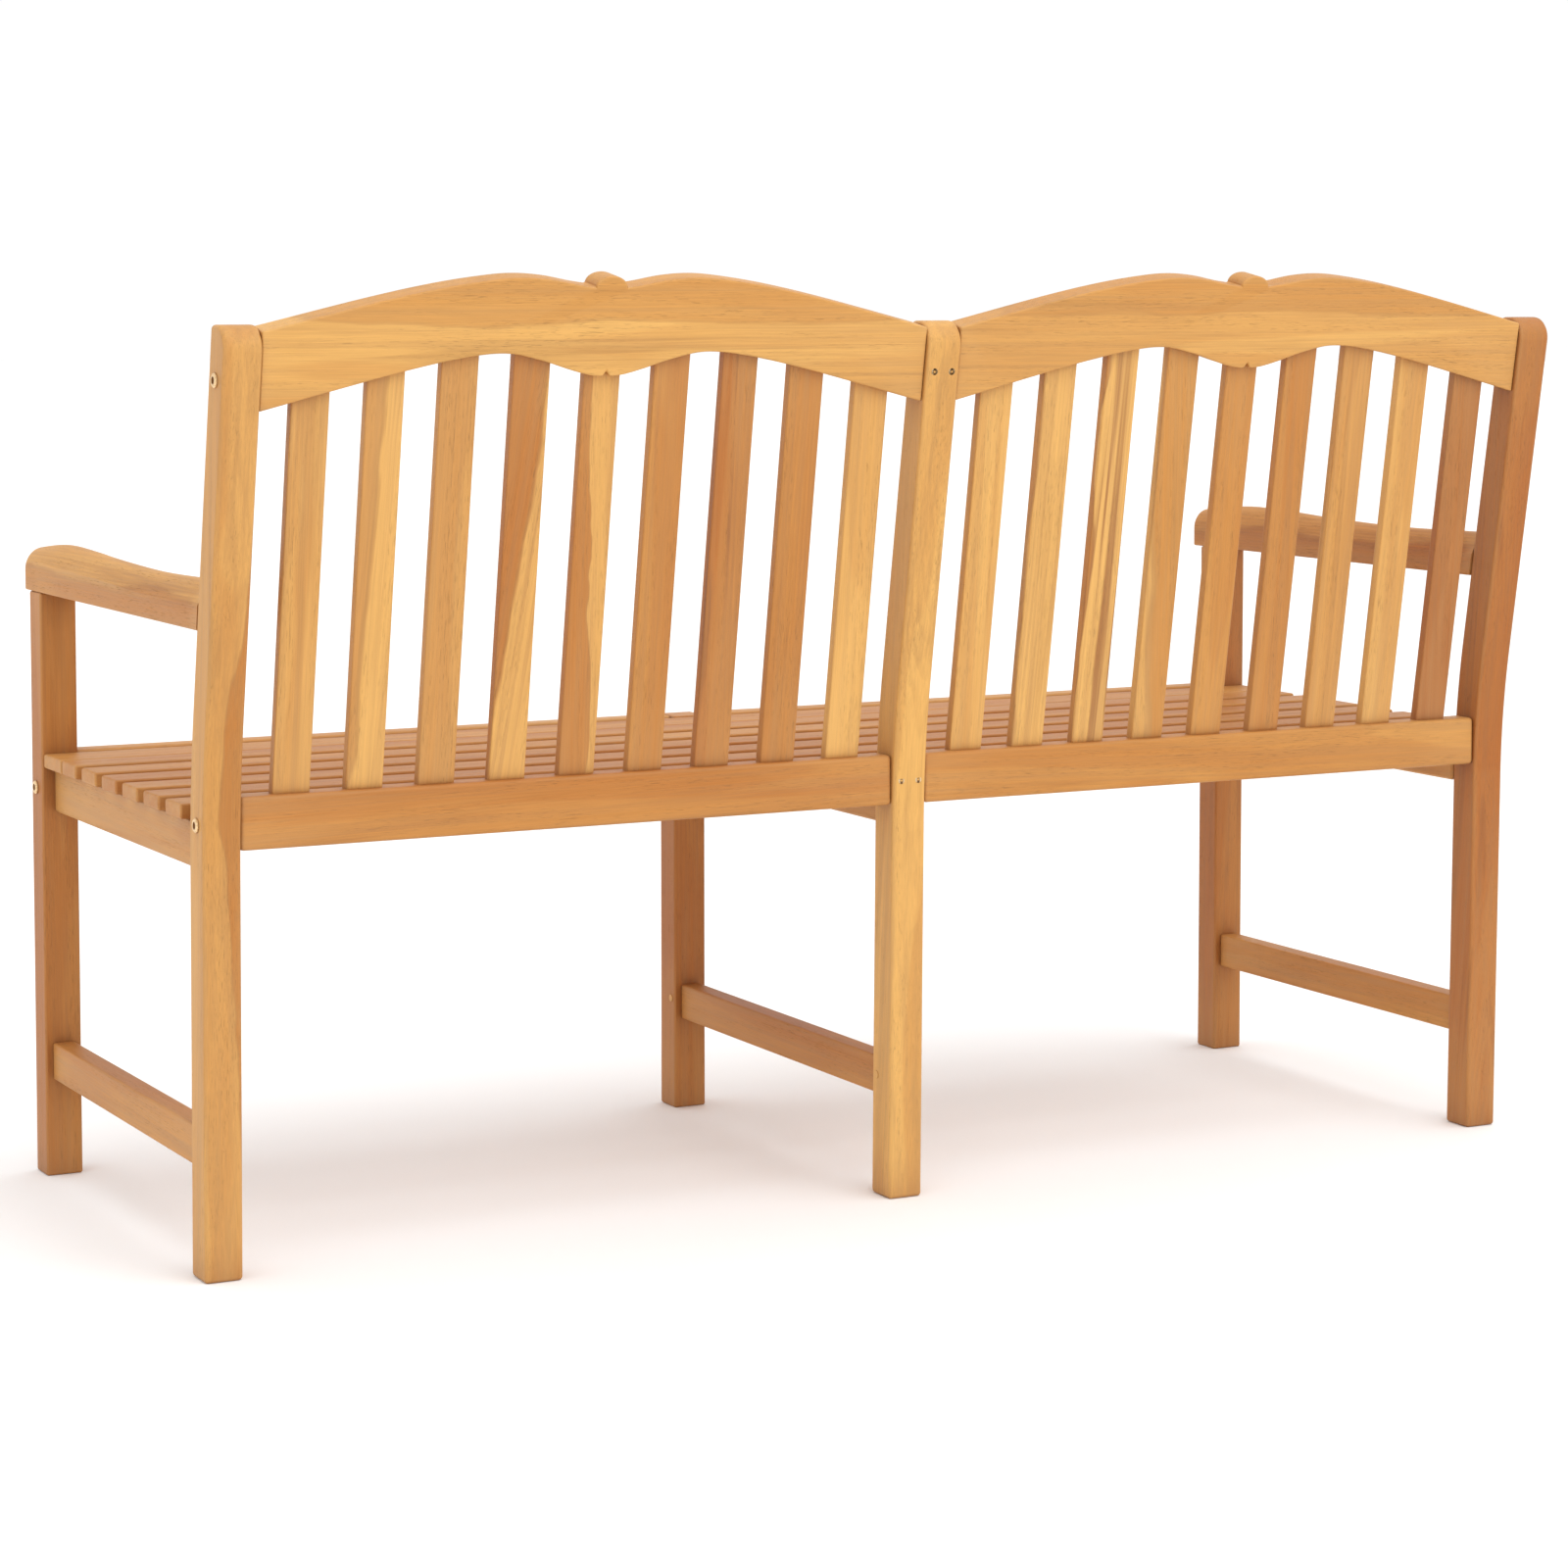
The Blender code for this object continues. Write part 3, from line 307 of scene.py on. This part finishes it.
def metal(name, bright, dull, rough, centre=None, across=(1, 1, 1), hollow=0.0):
    """Plated steel, mottled, with painted shade and some oxide darkening its recesses. Within the hollow
    radius of its centre, measured over the axes marked in across, painted shade makes it brown, and nearly
    black in the middle."""
    material, tree, shader = new_material(name)
    place = add_node(tree, "ShaderNodeTexCoord").outputs["Object"]
    mottle = add_node(tree, "ShaderNodeTexNoise", Vector=place, Scale=900.0, Detail=4.0).outputs["Fac"]
    scratches = add_node(tree, "ShaderNodeTexNoise", Vector=place, Scale=3500.0, Detail=2.0).outputs["Fac"]
    openness = ambient_light(tree, 0.0025, 8)
    colour = blend_colours(tree, ramp_between(tree, mottle, 0.35, 0.65), (*bright, 1.0), (*dull, 1.0))
    # painted shade, with some oxide, where the surroundings close in
    colour = blend_colours(tree, ramp_between(tree, openness, 0.62, 0.36), colour, RECESS_SHADE_AND_OXIDE)
    if hollow:
        flat = vector_node(tree, "MULTIPLY", vector_node(tree, "SUBTRACT", place, centre), across)
        radius = add_node(tree, "ShaderNodeVectorMath", {"operation": "LENGTH"}, _0=flat).outputs["Value"]
        # painted shade inside the socket, brown and then nearly black towards its middle
        socket_shade_mask = ramp_between(tree, radius, hollow * 1.04, hollow * 0.94)
        colour = blend_colours(tree, socket_shade_mask, colour, SOCKET_SHADE)
        socket_shadow_mask = ramp_between(tree, radius, hollow * 0.55, hollow * 0.35)
        colour = blend_colours(tree, socket_shadow_mask, colour, SOCKET_SHADOW)
    roughness = math_node(tree, "MULTIPLY_ADD", mottle, 0.25, rough)
    bump = add_node(tree, "ShaderNodeBump", Height=scratches, Strength=0.15, Distance=0.0001)
    tree.links.new(colour, shader["Base Color"])
    tree.links.new(roughness, shader["Roughness"])
    tree.links.new(bump.outputs["Normal"], shader["Normal"])
    shader["Metallic"].default_value = 0.85
    return material


# ---- meshes ---------------------------------------------------------------------------------------------
WAVER = 0.00012                 # how far a planed edge strays inward
WAVER_SPACING = 0.09            # and the distance between its bumps
BOARD_EASE = 0.0025


def new_object(name, bm):
    mesh = bpy.data.meshes.new(name)
    bm.to_mesh(mesh)
    bm.free()
    thing = bpy.data.objects.new(name, mesh)
    bpy.context.scene.collection.objects.link(thing)
    return thing


def side_walls(bm, ring, following):
    """Faces between two closed rings of the same number of vertices."""
    for index in range(len(ring)):
        after = (index + 1) % len(ring)
        bm.faces.new((ring[index], ring[after], following[after], following[index]))


def add_piece(name, bm, material, nodes, ease=0.0):
    """A shown piece from a bmesh in the frame's own axes. It rides on the root and stands for its CAD
    nodes. ease is how much its sharp edges are rounded."""
    for face in bm.faces:
        face.smooth = True
    piece = new_object(name, bm)
    piece.data.materials.append(material)
    if ease:
        bevel = piece.modifiers.new("eased_edges", "BEVEL")
        bevel.width = ease
        bevel.segments = 3
        bevel.limit_method = "ANGLE"
        bevel.angle_limit = radians(40)
    piece.modifiers.new("flat_faces", "WEIGHTED_NORMAL").weight = 80
    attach(piece, "root")
    if nodes:
        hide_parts(*nodes)
    return piece


def sawn(outline, thickness, placing):
    """A board sawn to a flat outline: the outline's points are X and Y, its thickness is along Z, and
    placing takes it to the frame's own axes."""
    bm = bmesh.new()
    sides = []
    for height in (-thickness / 2, thickness / 2):
        sides.append([bm.verts.new(placing @ Vector((*point, height))) for point in outline])
    bm.faces.new(sides[0][::-1])
    bm.faces.new(sides[1])
    side_walls(bm, *sides)
    bmesh.ops.recalc_face_normals(bm, faces=bm.faces)
    return bm


def board_outline(length, width, seed):
    """A rectangle about its middle, length along X, whose long edges waver slightly as planed ones do."""
    rng = random.Random(seed)
    steps = max(2, round(length / WAVER_SPACING))
    edges = []
    for side in (-1, 1):
        edge = []
        for step in range(steps + 1):
            x = length * (step / steps - 0.5)
            give = 0.0 if step in (0, steps) else rng.uniform(-WAVER, 0.0)
            edge.append((x, side * (width / 2 + give)))
        edges.append(edge)
    return edges[0] + edges[1][::-1]


def axes_matrix(origin, length_axis, width_axis):
    """Takes X to the length, Y to the width, and Z to the thickness of a board."""
    x, y = Vector(length_axis).normalized(), Vector(width_axis).normalized()
    turn = Matrix((x, y, x.cross(y))).transposed().to_4x4()
    return Matrix.Translation(origin) @ turn


def beam(name, low, high, along, slot, ease=BOARD_EASE, **look):
    """A straight board between two corners, its grain along X, Y or Z."""
    low, high = Vector(low), Vector(high)
    middle, size = (low + high) / 2, high - low
    order = {"X": (0, 2, 1), "Y": (1, 2, 0), "Z": (2, 0, 1)}[along]
    axes = [Vector([float(index == axis) for index in range(3)]) for axis in order]
    outline = board_outline(size[order[0]], size[order[1]], name)
    bm = sawn(outline, size[order[2]], axes_matrix(middle, axes[0], axes[1]))
    add_piece(name, bm, teak(name, middle, along, **look), [name], ease)


# ---- the rear posts -------------------------------------------------------------------------------------
BEND_STEPS = 14
ABOVE_TOP = 1.0                 # a height above the whole bench, to which the raked edge is carried on
POST_MIDDLE = 0.45              # height of the bend, about half way up
POST_GRAIN = radians(5)         # the grain leans between the foot's lean and the rake
POST_EASE = 0.0038


def post_edge(offset):
    """Points (y, z) up a rear post, offset forward of its back edge, from the ground to its bend's end."""
    kink = Vector((KINK_HEIGHT * tan(LEAN), KINK_HEIGHT))
    start = kink - BEND_REACH * Vector((sin(LEAN), cos(LEAN)))
    radius = BEND_REACH / tan((RAKE - LEAN) / 2)
    centre = start + radius * Vector((cos(LEAN), -sin(LEAN)))
    arc = []
    for step in range(BEND_STEPS + 1):
        angle = LEAN + (RAKE - LEAN) * step / BEND_STEPS
        arc.append(centre + (radius + offset) * Vector((-cos(angle), sin(angle))))
    foot = arc[0] - arc[0].y / cos(LEAN) * Vector((sin(LEAN), cos(LEAN)))
    return [foot] + arc


def edge_y(z, offset):
    """Where the edge of a rear post, offset forward of its back edge, is at height z."""
    points = post_edge(offset)
    last = points[-1]
    points.append(last + (ABOVE_TOP - last.y) * Vector((tan(RAKE), 1.0)))
    for below, above in zip(points, points[1:]):
        if z <= above.y:
            return below.x + (above.x - below.x) * (z - below.y) / (above.y - below.y)
    return points[-1].x


def rounded_corner(before, corner, after, radius, steps):
    """An arc of the radius that touches both sides of a corner."""
    to_before = (before - corner).normalized()
    to_after = (after - corner).normalized()
    half = to_before.angle(to_after) / 2
    centre = corner + (to_before + to_after).normalized() * radius / sin(half)
    first = corner + to_before * radius / tan(half) - centre
    last = corner + to_after * radius / tan(half) - centre
    sweep = pi - 2 * half
    arc = []
    for step in range(steps + 1):
        from_first = first * sin(sweep * (1 - step / steps))
        from_last = last * sin(sweep * step / steps)
        arc.append(centre + (from_first + from_last) / sin(sweep))
    return arc


def make_posts():
    looks = {
        "left": dict(tone=0.22, streaks=0.25, figure=0.6, zone=mixed(AMBER, RUSSET, 0.75),
                     zone_radius=0.0635, zone_width=-0.002, zone_amount=0.8, pith=(0.020, -0.0585),
                     askew=(0.0, 0.8)),
        "middle": dict(tone=0.0, streaks=0.3, figure=0.7),
        "right": dict(tone=0.96, streaks=0.6, figure=0.9, zone=CHESTNUT, zone_radius=0.0,
                      zone_amount=0.15, pith=(0.03, 0.05)),
    }
    for name, look in looks.items():
        node = f"rear_post_{name}"
        low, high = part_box(node)
        middle_x = (low.x + high.x) / 2
        back, front = post_edge(0.0), post_edge(POST_DEPTH)
        top_back = Vector((edge_y(high.z, 0.0), high.z))
        top_front = Vector((edge_y(high.z, POST_DEPTH), high.z))
        crown = rounded_corner(back[-1], top_back, top_front, POST_CROWN, BEND_STEPS)
        outline = [Vector((at_foot(p.x), p.y)) for p in back + crown + [top_front] + front[::-1]]
        placing = Matrix(((0, 0, 1, middle_x), (1, 0, 0, 0), (0, 1, 0, 0), (0, 0, 0, 1)))
        bm = sawn(outline, high.x - low.x, placing)
        middle = Vector((middle_x, at_foot(0.0), POST_MIDDLE))
        wood = teak(node, middle, "Z", tilt=POST_GRAIN, **look)
        add_piece(node, bm, wood, [node], POST_EASE)


# ---- the crest rails ------------------------------------------------------------------------------------
# Half outlines, from the rail's middle to its end: distance from the middle, height above the ground.
CREST_WAVE = [(0.0165, 0.9320), (0.0340, 0.9345), (0.0620, 0.9395), (0.0925, 0.9415), (0.1250, 0.9390),
              (0.1750, 0.9315), (0.2400, 0.9180), (0.3469, 0.8925)]
CREST_ARCH = [(0.0080, 0.8480), (0.0200, 0.8497), (0.0400, 0.8550), (0.0700, 0.8640), (0.1050, 0.8703),
              (0.1500, 0.8660), (0.2200, 0.8512), (0.3469, 0.8190)]
KNOB_BASE = 0.9320
KNOB_RISE = 0.0110
KNOB_HALF_WIDTH = 0.0165
KNOB_STEPS = 14
CURVE_STEPS = 8                 # between two knots of a curve
CREST_EASE = 0.0022
# The notch in the lower edge, as (distance from the middle, rise).
NOTCH = [(-0.0035, 0.0), (0.0, 0.0050), (0.0035, 0.0)]


def smooth_path(points):
    """Catmull-Rom curve through a few points."""
    knots = [Vector(point) for point in points]
    padded = [2 * knots[0] - knots[1], *knots, 2 * knots[-1] - knots[-2]]
    path = []
    for a, b, c, d in zip(padded, padded[1:], padded[2:], padded[3:]):
        for step in range(CURVE_STEPS):
            t = step / CURVE_STEPS
            path.append(0.5 * (2 * b + (c - a) * t + (2 * a - 5 * b + 4 * c - d) * t * t
                               + (3 * b - a - 3 * c + d) * t ** 3))
    path.append(knots[-1])
    return path


def crest_outline(half_length):
    """Points (x, z) round a crest rail about its middle, with its knob above and its notch below."""
    def half(knots):
        return smooth_path([(min(x, half_length), z) for x, z in knots])
    top, bottom = half(CREST_WAVE), half(CREST_ARCH)
    knob = []
    for step in range(1, KNOB_STEPS):
        angle = pi * step / KNOB_STEPS
        knob.append(Vector((KNOB_HALF_WIDTH * cos(angle), KNOB_BASE + KNOB_RISE * sin(angle))))
    lobe = bottom[0].y
    notch = [Vector((x, lobe + rise)) for x, rise in NOTCH]
    far_top = [Vector((-p.x, p.y)) for p in top]
    far_bottom = [Vector((-p.x, p.y)) for p in bottom]
    return top[::-1] + knob + far_top + far_bottom[::-1] + notch + bottom


def bay_edges(name, side):
    """X of the inner and outer post faces that a bay lies between."""
    middle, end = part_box("rear_post_middle"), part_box(f"rear_post_{name}")
    return (middle[1].x, end[0].x) if side > 0 else (middle[0].x, end[1].x)


def make_crests():
    crossing = dict(zone=mixed(HONEY, AMBER, 0.8), zone_amount=0.6, askew=(0.0, 0.0), streaks=0.5,
                    figure=0.8)
    looks = {"left": dict(tone=0.0, pith=(0.01, 0.10), zone_radius=0.115, **crossing),
             "right": dict(tone=0.04, pith=(0.02, 0.12), zone_radius=0.140, **crossing)}
    post_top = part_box("rear_post_middle")[1].z
    for name, side in BAYS.items():
        node = f"crest_rail_{name}"
        inner, outer = bay_edges(name, side)
        half_length = abs(outer - inner) / 2 - CREST_GAP
        outline = [Vector((p.x, (p.y - post_top) / cos(RAKE))) for p in crest_outline(half_length)]
        origin = Vector(((inner + outer) / 2, at_foot(edge_y(post_top, POST_DEPTH / 2)), post_top))
        placing = axes_matrix(origin, (1, 0, 0), (0, sin(RAKE), cos(RAKE)))
        bm = sawn(outline, CREST_THICKNESS, placing)
        add_piece(node, bm, teak(node, origin, "X", **looks[name]), [node], CREST_EASE)


# ---- the back slats -------------------------------------------------------------------------------------
def crossed(zone, zone_radius, zone_amount, pith, degrees, **more):
    """The look of a slat that a zone's edge crosses, with its grain turned by some degrees to it."""
    return dict(zone=zone, zone_radius=zone_radius, zone_amount=zone_amount, pith=pith,
                askew=(degrees, 0.0), **more)


def make_back_slats():
    tones = {"left": (0.02, 0.60, 0.88, 0.68, 0.62, 0.72, 0.22, 0.26, 0.16),
             "right": (0.02, 0.30, 0.66, 0.08, 0.48, 0.60, 0.36, 0.12, 0.98)}
    # Slats sawn across the edge of the heartwood, or with dark lines along them. right_9 is dark all over.
    special = {
        "left_3": dict(streaks=1.0),
        "left_5": crossed(PALE, 0.056, 0.75, (0.02, 0.036), -2.4, zone_width=0.002),
        "left_6": crossed(PALE, 0.056, 0.8, (0.030, 0.030), 6.0),
        "left_7": crossed(RUSSET, 0.036, 0.6, (0.02, 0.045), 0.4, zone_width=-0.002),
        "left_8": crossed(PALE, 0.054, 0.8, (0.02, 0.042), 2.0),
        "left_9": crossed(CHESTNUT, 0.040, 0.75, (0.02, 0.046), -0.5, zone_width=-0.0015),
        "right_1": crossed(CHESTNUT, 0.036, 0.6, (0.02, 0.046), -0.8, zone_width=-0.0015),
        "right_2": crossed(PALE, 0.047, 0.9, (0.02, 0.045), 0.6),
        "right_3": crossed(PALE, 0.051, 1.0, (0.024, 0.043), 0.5, zone_width=0.003, streaks=0.9),
        "right_4": crossed(AMBER, 0.050, 0.85, (0.03, 0.03), -5.0),
        "right_9": crossed(mixed(CHESTNUT, UMBER, 0.3), 0.0, 0.45, None, -4.0),
    }
    for bay in BAYS:
        for index in range(SLAT_COUNT):
            key = f"{bay}_{index + 1}"
            node = f"back_slat_{key}"
            low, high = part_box(node)
            middle, size = (low + high) / 2, high - low
            length = (size.z - SLAT_THICKNESS * sin(SLAT_TILT)) / cos(SLAT_TILT) - 2 * SLAT_INSERT
            up = (0.0, sin(SLAT_TILT), cos(SLAT_TILT))
            outline = board_outline(length, size.x, node)
            bm = sawn(outline, SLAT_THICKNESS, axes_matrix(middle, up, (1, 0, 0)))
            look = dict(tone=tones[bay][index], streaks=0.3, figure=0.9)
            look.update(special.get(key, {}))
            wood = teak(node, middle, "Z", tilt=SLAT_TILT, **look)
            add_piece(node, bm, wood, [node], SLAT_EASE)


# ---- straight pieces ------------------------------------------------------------------------------------
REAR_RAIL_EASE = 0.0045
FRONT_RAIL_EASE = 0.004


def make_legs():
    # The legs' dark tones are partly their own wood and partly painted shade from the seat and back above
    # them.
    looks = {"left": dict(tone=0.82, streaks=0.3), "middle": dict(tone=0.84, streaks=0.25),
             "right": dict(tone=0.90, streaks=0.5)}
    for name, look in looks.items():
        node = f"front_leg_{name}"
        low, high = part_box(node)
        if name in BAYS:
            high.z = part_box(f"armrest_{name}")[0].z
        beam(node, low, high, "Z", "frame_wood", figure=0.7, **look)


def make_rails():
    for name, side in BAYS.items():
        inner, outer = bay_edges(name, side)
        node = f"rear_seat_rail_{name}"
        low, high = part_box(node)
        low.x, high.x = sorted((inner, outer))
        tone = 0.68 if side > 0 else 0.46
        beam(node, low, high, "X", "rail_wood", REAR_RAIL_EASE, tone=tone, streaks=0.3, figure=0.5)

        node = f"front_seat_rail_{name}"
        low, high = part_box(node)
        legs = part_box("front_leg_middle"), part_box(f"front_leg_{name}")
        faces = (legs[0][1].x, legs[1][0].x) if side > 0 else (legs[0][0].x, legs[1][1].x)
        low.x, high.x = sorted(faces)
        beam(node, low, high, "X", "rail_wood", FRONT_RAIL_EASE, tone=0.35, streaks=0.15, figure=0.6)


def make_stretchers():
    tones = {"left": 0.50, "middle": 0.62, "right": 0.52}
    for name, tone in tones.items():
        node = f"stretcher_{name}"
        low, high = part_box(node)
        low.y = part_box(f"front_leg_{name}")[1].y
        high.y = at_foot(edge_y(high.z, POST_DEPTH))
        beam(node, low, high, "Y", "rail_wood", tone=tone, streaks=0.2, figure=0.6)


def make_seat_slats():
    tones = (0.56, 0.64, 0.54, 0.70, 0.58, 0.74, 0.62)
    for number in range(1, SEAT_SLAT_COUNT + 1):
        node = f"seat_slat_{number}"
        low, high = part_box(node)
        beam(node, low, high, "X", "seat_wood", tone=tones[number - 1], streaks=0.3, figure=0.9)


# ---- the armrests ---------------------------------------------------------------------------------------
ARM_ARC_STEPS = 24
ARM_NOSE_STEPS = 8
ARM_BODY_STEPS = 40
ARM_CREASE = radians(18)        # edges that turn by more than this stay sharp


def height_on(path, x):
    """Height of a path at a distance along its first coordinate; level beyond its ends."""
    for a, b in zip(path, path[1:]):
        if x <= b.x:
            return a.y + (b.y - a.y) * max(0.0, x - a.x) / (b.x - a.x)
    return path[-1].y


def arm_section(y, half, bottom):
    """Cross-section of an armrest at y: flat bottom, upright sides, and a rounded top that meets them
    smoothly at the nose and at an edge further back."""
    sides = height_on(smooth_path(ARM_SIDES), y)
    crown = height_on(smooth_path(ARM_CROWN), y)
    from_tip = y + ARM_OVERHANG
    if from_tip < ARM_TIP_ROUND:
        drawn_in = ARM_TIP_ROUND * (1 - sqrt(1 - (1 - from_tip / ARM_TIP_ROUND) ** 2))
        half -= drawn_in
        crown -= drawn_in
    power = 1 + min(1.0, from_tip / ARM_FAIRING)
    low_edge = [(half, bottom + ARM_EDGE), (half - ARM_EDGE * 0.3, bottom + ARM_EDGE * 0.3),
                (half - ARM_EDGE, bottom)]
    ring = [(-across, z) for across, z in low_edge] + low_edge[::-1]
    for step in range(ARM_ARC_STEPS + 1):
        angle = pi * step / ARM_ARC_STEPS
        ring.append((half * cos(angle), sides + (crown - sides) * max(0.0, sin(angle)) ** power))
    return ring


def make_armrests():
    # zone is the colour of the painted light on an arm's top
    looks = {"left": dict(tone=0.46, zone=PALE), "right": dict(tone=0.84, zone=HONEY)}
    # The rounded top of an arm is painted paler beyond the zone's edge, as painted light falling on it from
    # above.
    painted_top_light = dict(streaks=0.2, figure=0.9, pith=(0.0, 0.10), askew=(0.6, 0.4),
                    zone_radius=0.107, zone_width=0.009, zone_amount=0.5)
    nose = []
    for step in range(ARM_NOSE_STEPS + 1):
        share = 1 - cos(pi / 2 * step / ARM_NOSE_STEPS)
        nose.append(-ARM_OVERHANG + ARM_TIP_ROUND * share)
    for name, look in looks.items():
        node = f"armrest_{name}"
        low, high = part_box(node)
        middle = (low + high) / 2
        last_y = edge_y(low.z, POST_DEPTH)
        length = last_y - nose[-1]
        body = [nose[-1] + length * step / ARM_BODY_STEPS for step in range(1, ARM_BODY_STEPS + 1)]
        bm = bmesh.new()
        rings = []
        for y in nose + body:
            ring = []
            for across, z in arm_section(y, (high.x - low.x) / 2, low.z):
                along = edge_y(z, POST_DEPTH) if y == body[-1] else y
                ring.append(bm.verts.new((middle.x + across, at_foot(along), z)))
            rings.append(ring)
        for ring, following in zip(rings, rings[1:]):
            side_walls(bm, ring, following)
        bm.faces.new(rings[0])
        bm.faces.new(rings[-1][::-1])
        bmesh.ops.recalc_face_normals(bm, faces=bm.faces)
        arm = add_piece(node, bm, teak(node, middle, "Y", **look, **painted_top_light), [node])
        arm.data.set_sharp_from_angle(angle=ARM_CREASE)
        arm.modifiers["flat_faces"].keep_sharp = True


# ---- screws under the seat ------------------------------------------------------------------------------
POCKET_DEPTH = 0.0177           # from the underside of a rail up to the screw heads in it
SCREW_RADIUS = 0.0034
SCREW_HEIGHT = 0.0018
SCREW_SIDES = 20
# Rings of a screw head, as (share of its radius, share of its height).
SCREW_DOME = [(1.0, 0.0), (0.97, 0.45), (0.80, 0.82), (0.62, 1.0)]
CROSS_REACH = 0.5704            # of the cross cut in the head, as a share of its radius
CROSS_CORNER = 0.276            # between the cross's arms
CROSS_FLOOR = 0.35              # as a share of the head's height


def add_pan_head(bm, centre):
    """A domed screw head facing down, with a cross cut in it."""
    quarter = SCREW_SIDES // 4
    levels = []
    for share, drop in SCREW_DOME:
        levels.append(([share] * SCREW_SIDES, drop))
    arms = [index % quarter in (0, 1, quarter - 1) for index in range(SCREW_SIDES)]
    levels.append(([CROSS_REACH if arm else CROSS_CORNER for arm in arms], CROSS_FLOOR))
    rings = []
    for shares, drop in levels:
        ring = []
        for index, share in enumerate(shares):
            angle = 2 * pi * index / SCREW_SIDES
            reach = share * SCREW_RADIUS
            place = Vector((cos(angle) * reach, sin(angle) * reach, -drop * SCREW_HEIGHT))
            ring.append(bm.verts.new(centre + place))
        rings.append(ring)
    for ring, following in zip(rings, rings[1:]):
        side_walls(bm, ring, following)
    bm.faces.new(rings[0][::-1])
    bm.faces.new(rings[-1])


def make_seat_screws():
    """One screw up into each seat slat, at the head of each pocket under the end rails and the bearer."""
    steel = metal("seat_screw_steel", *SEAT_SCREW_STEEL, 0.35)
    for rail in ("seat_end_rail_left", "seat_bearer_middle", "seat_end_rail_right"):
        low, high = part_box(rail)
        bm = bmesh.new()
        for number in range(1, SEAT_SLAT_COUNT + 1):
            slat_low, slat_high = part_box(f"seat_slat_{number}")
            slat_y = (slat_low.y + slat_high.y) / 2
            add_pan_head(bm, Vector(((low.x + high.x) / 2, slat_y, low.z + POCKET_DEPTH)))
        bmesh.ops.recalc_face_normals(bm, faces=bm.faces)
        add_piece(f"slat_screws_{rail.removeprefix('seat_')}", bm, steel, [])


# ---- CAD nodes that stay --------------------------------------------------------------------------------
def paint_nodes():
    """Materials for the CAD nodes that no piece stands for."""
    for node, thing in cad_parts.items():
        if thing.hide_render:
            continue
        low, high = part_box(node)
        middle = (low + high) / 2
        if node.startswith("frame_bolt"):
            material = metal(f"yellow_zinc_{node}", *BOLT_ZINC, 0.30, middle, (0, 1, 1), BOLT_SOCKET_RADIUS)
        elif node.startswith("tenon_screw"):
            material = metal(f"screw_zinc_{node}", *SCREW_ZINC, 0.35, middle, (1, 0, 0), SCREW_RECESS_RADIUS)
        elif node.startswith("stretcher_peg"):
            material = teak(node, middle, "X", tone=0.05, streaks=0.1, figure=0.4)
        else:
            material = teak(node, middle, "Y", tone=0.46, streaks=0.2, figure=0.6)
        for slot_index in range(len(thing.material_slots)):
            thing.material_slots[slot_index].material = material


# ---- studio ---------------------------------------------------------------------------------------------
KEY_PLACE = (-0.6, 3.2, 3.3)
KEY_TARGET = (0.0, 0.0, 0.5)
OVERHEAD_AHEAD = (0.15, -0.25, -1.0)


def make_floor():
    bm = bmesh.new()
    bmesh.ops.create_circle(bm, cap_ends=True, segments=96, radius=40.0)
    floor = new_object("floor", bm)
    material, _, shader = new_material("pale_floor")
    shader["Base Color"].default_value = (0.94, 0.94, 0.94, 1.0)
    shader["Roughness"].default_value = 0.9
    floor.data.materials.append(material)


def place_facing(name, data, place, ahead):
    """A lamp or camera that looks ahead."""
    holder = bpy.data.objects.new(name, data)
    holder.location = place
    holder.rotation_mode = "QUATERNION"
    holder.rotation_quaternion = ahead.to_track_quat("-Z", "Y")
    bpy.context.scene.collection.objects.link(holder)
    return holder


def make_lights():
    world = bpy.data.worlds.new("studio")
    world.use_nodes = True
    background = world.node_tree.nodes["Background"]
    background.inputs["Color"].default_value = (1.0, 1.0, 1.0, 1.0)
    background.inputs["Strength"].default_value = 1.01
    bpy.context.scene.world = world
    key = bpy.data.lights.new("key", "AREA")
    key.shape = "SQUARE"
    key.size = 2.4
    key.energy = 31.0
    key.color = (1.0, 0.99, 0.975)
    place_facing("key", key, KEY_PLACE, Vector(KEY_TARGET) - Vector(KEY_PLACE))
    overhead = bpy.data.lights.new("overhead", "SUN")
    overhead.energy = 0.95
    overhead.angle = radians(70)
    place_facing("overhead", overhead, (0.0, 0.0, 0.0), Vector(OVERHEAD_AHEAD))
    view = bpy.context.scene.view_settings
    view.view_transform = "Standard"
    view.look = "None"


def make_camera():
    """Nearly level, its picture moved down as by a shift lens, so that the posts stay almost upright."""
    yaw, pitch = radians(-117.55), radians(-3.98)
    ahead = Vector((cos(yaw) * cos(pitch), sin(yaw) * cos(pitch), sin(pitch)))
    camera = bpy.data.cameras.new("camera")
    camera.sensor_fit = "HORIZONTAL"
    camera.sensor_width = 36.0
    camera.lens = 89.8
    camera.shift_y = -0.15
    camera.clip_end = 100.0
    place = (1.935, at_foot(3.440), 0.940)
    bpy.context.scene.camera = place_facing("camera", camera, place, ahead)


make_posts()
make_crests()
make_back_slats()
make_legs()
make_rails()
make_stretchers()
make_seat_slats()
make_armrests()
make_seat_screws()
paint_nodes()
make_floor()
make_lights()
make_camera()
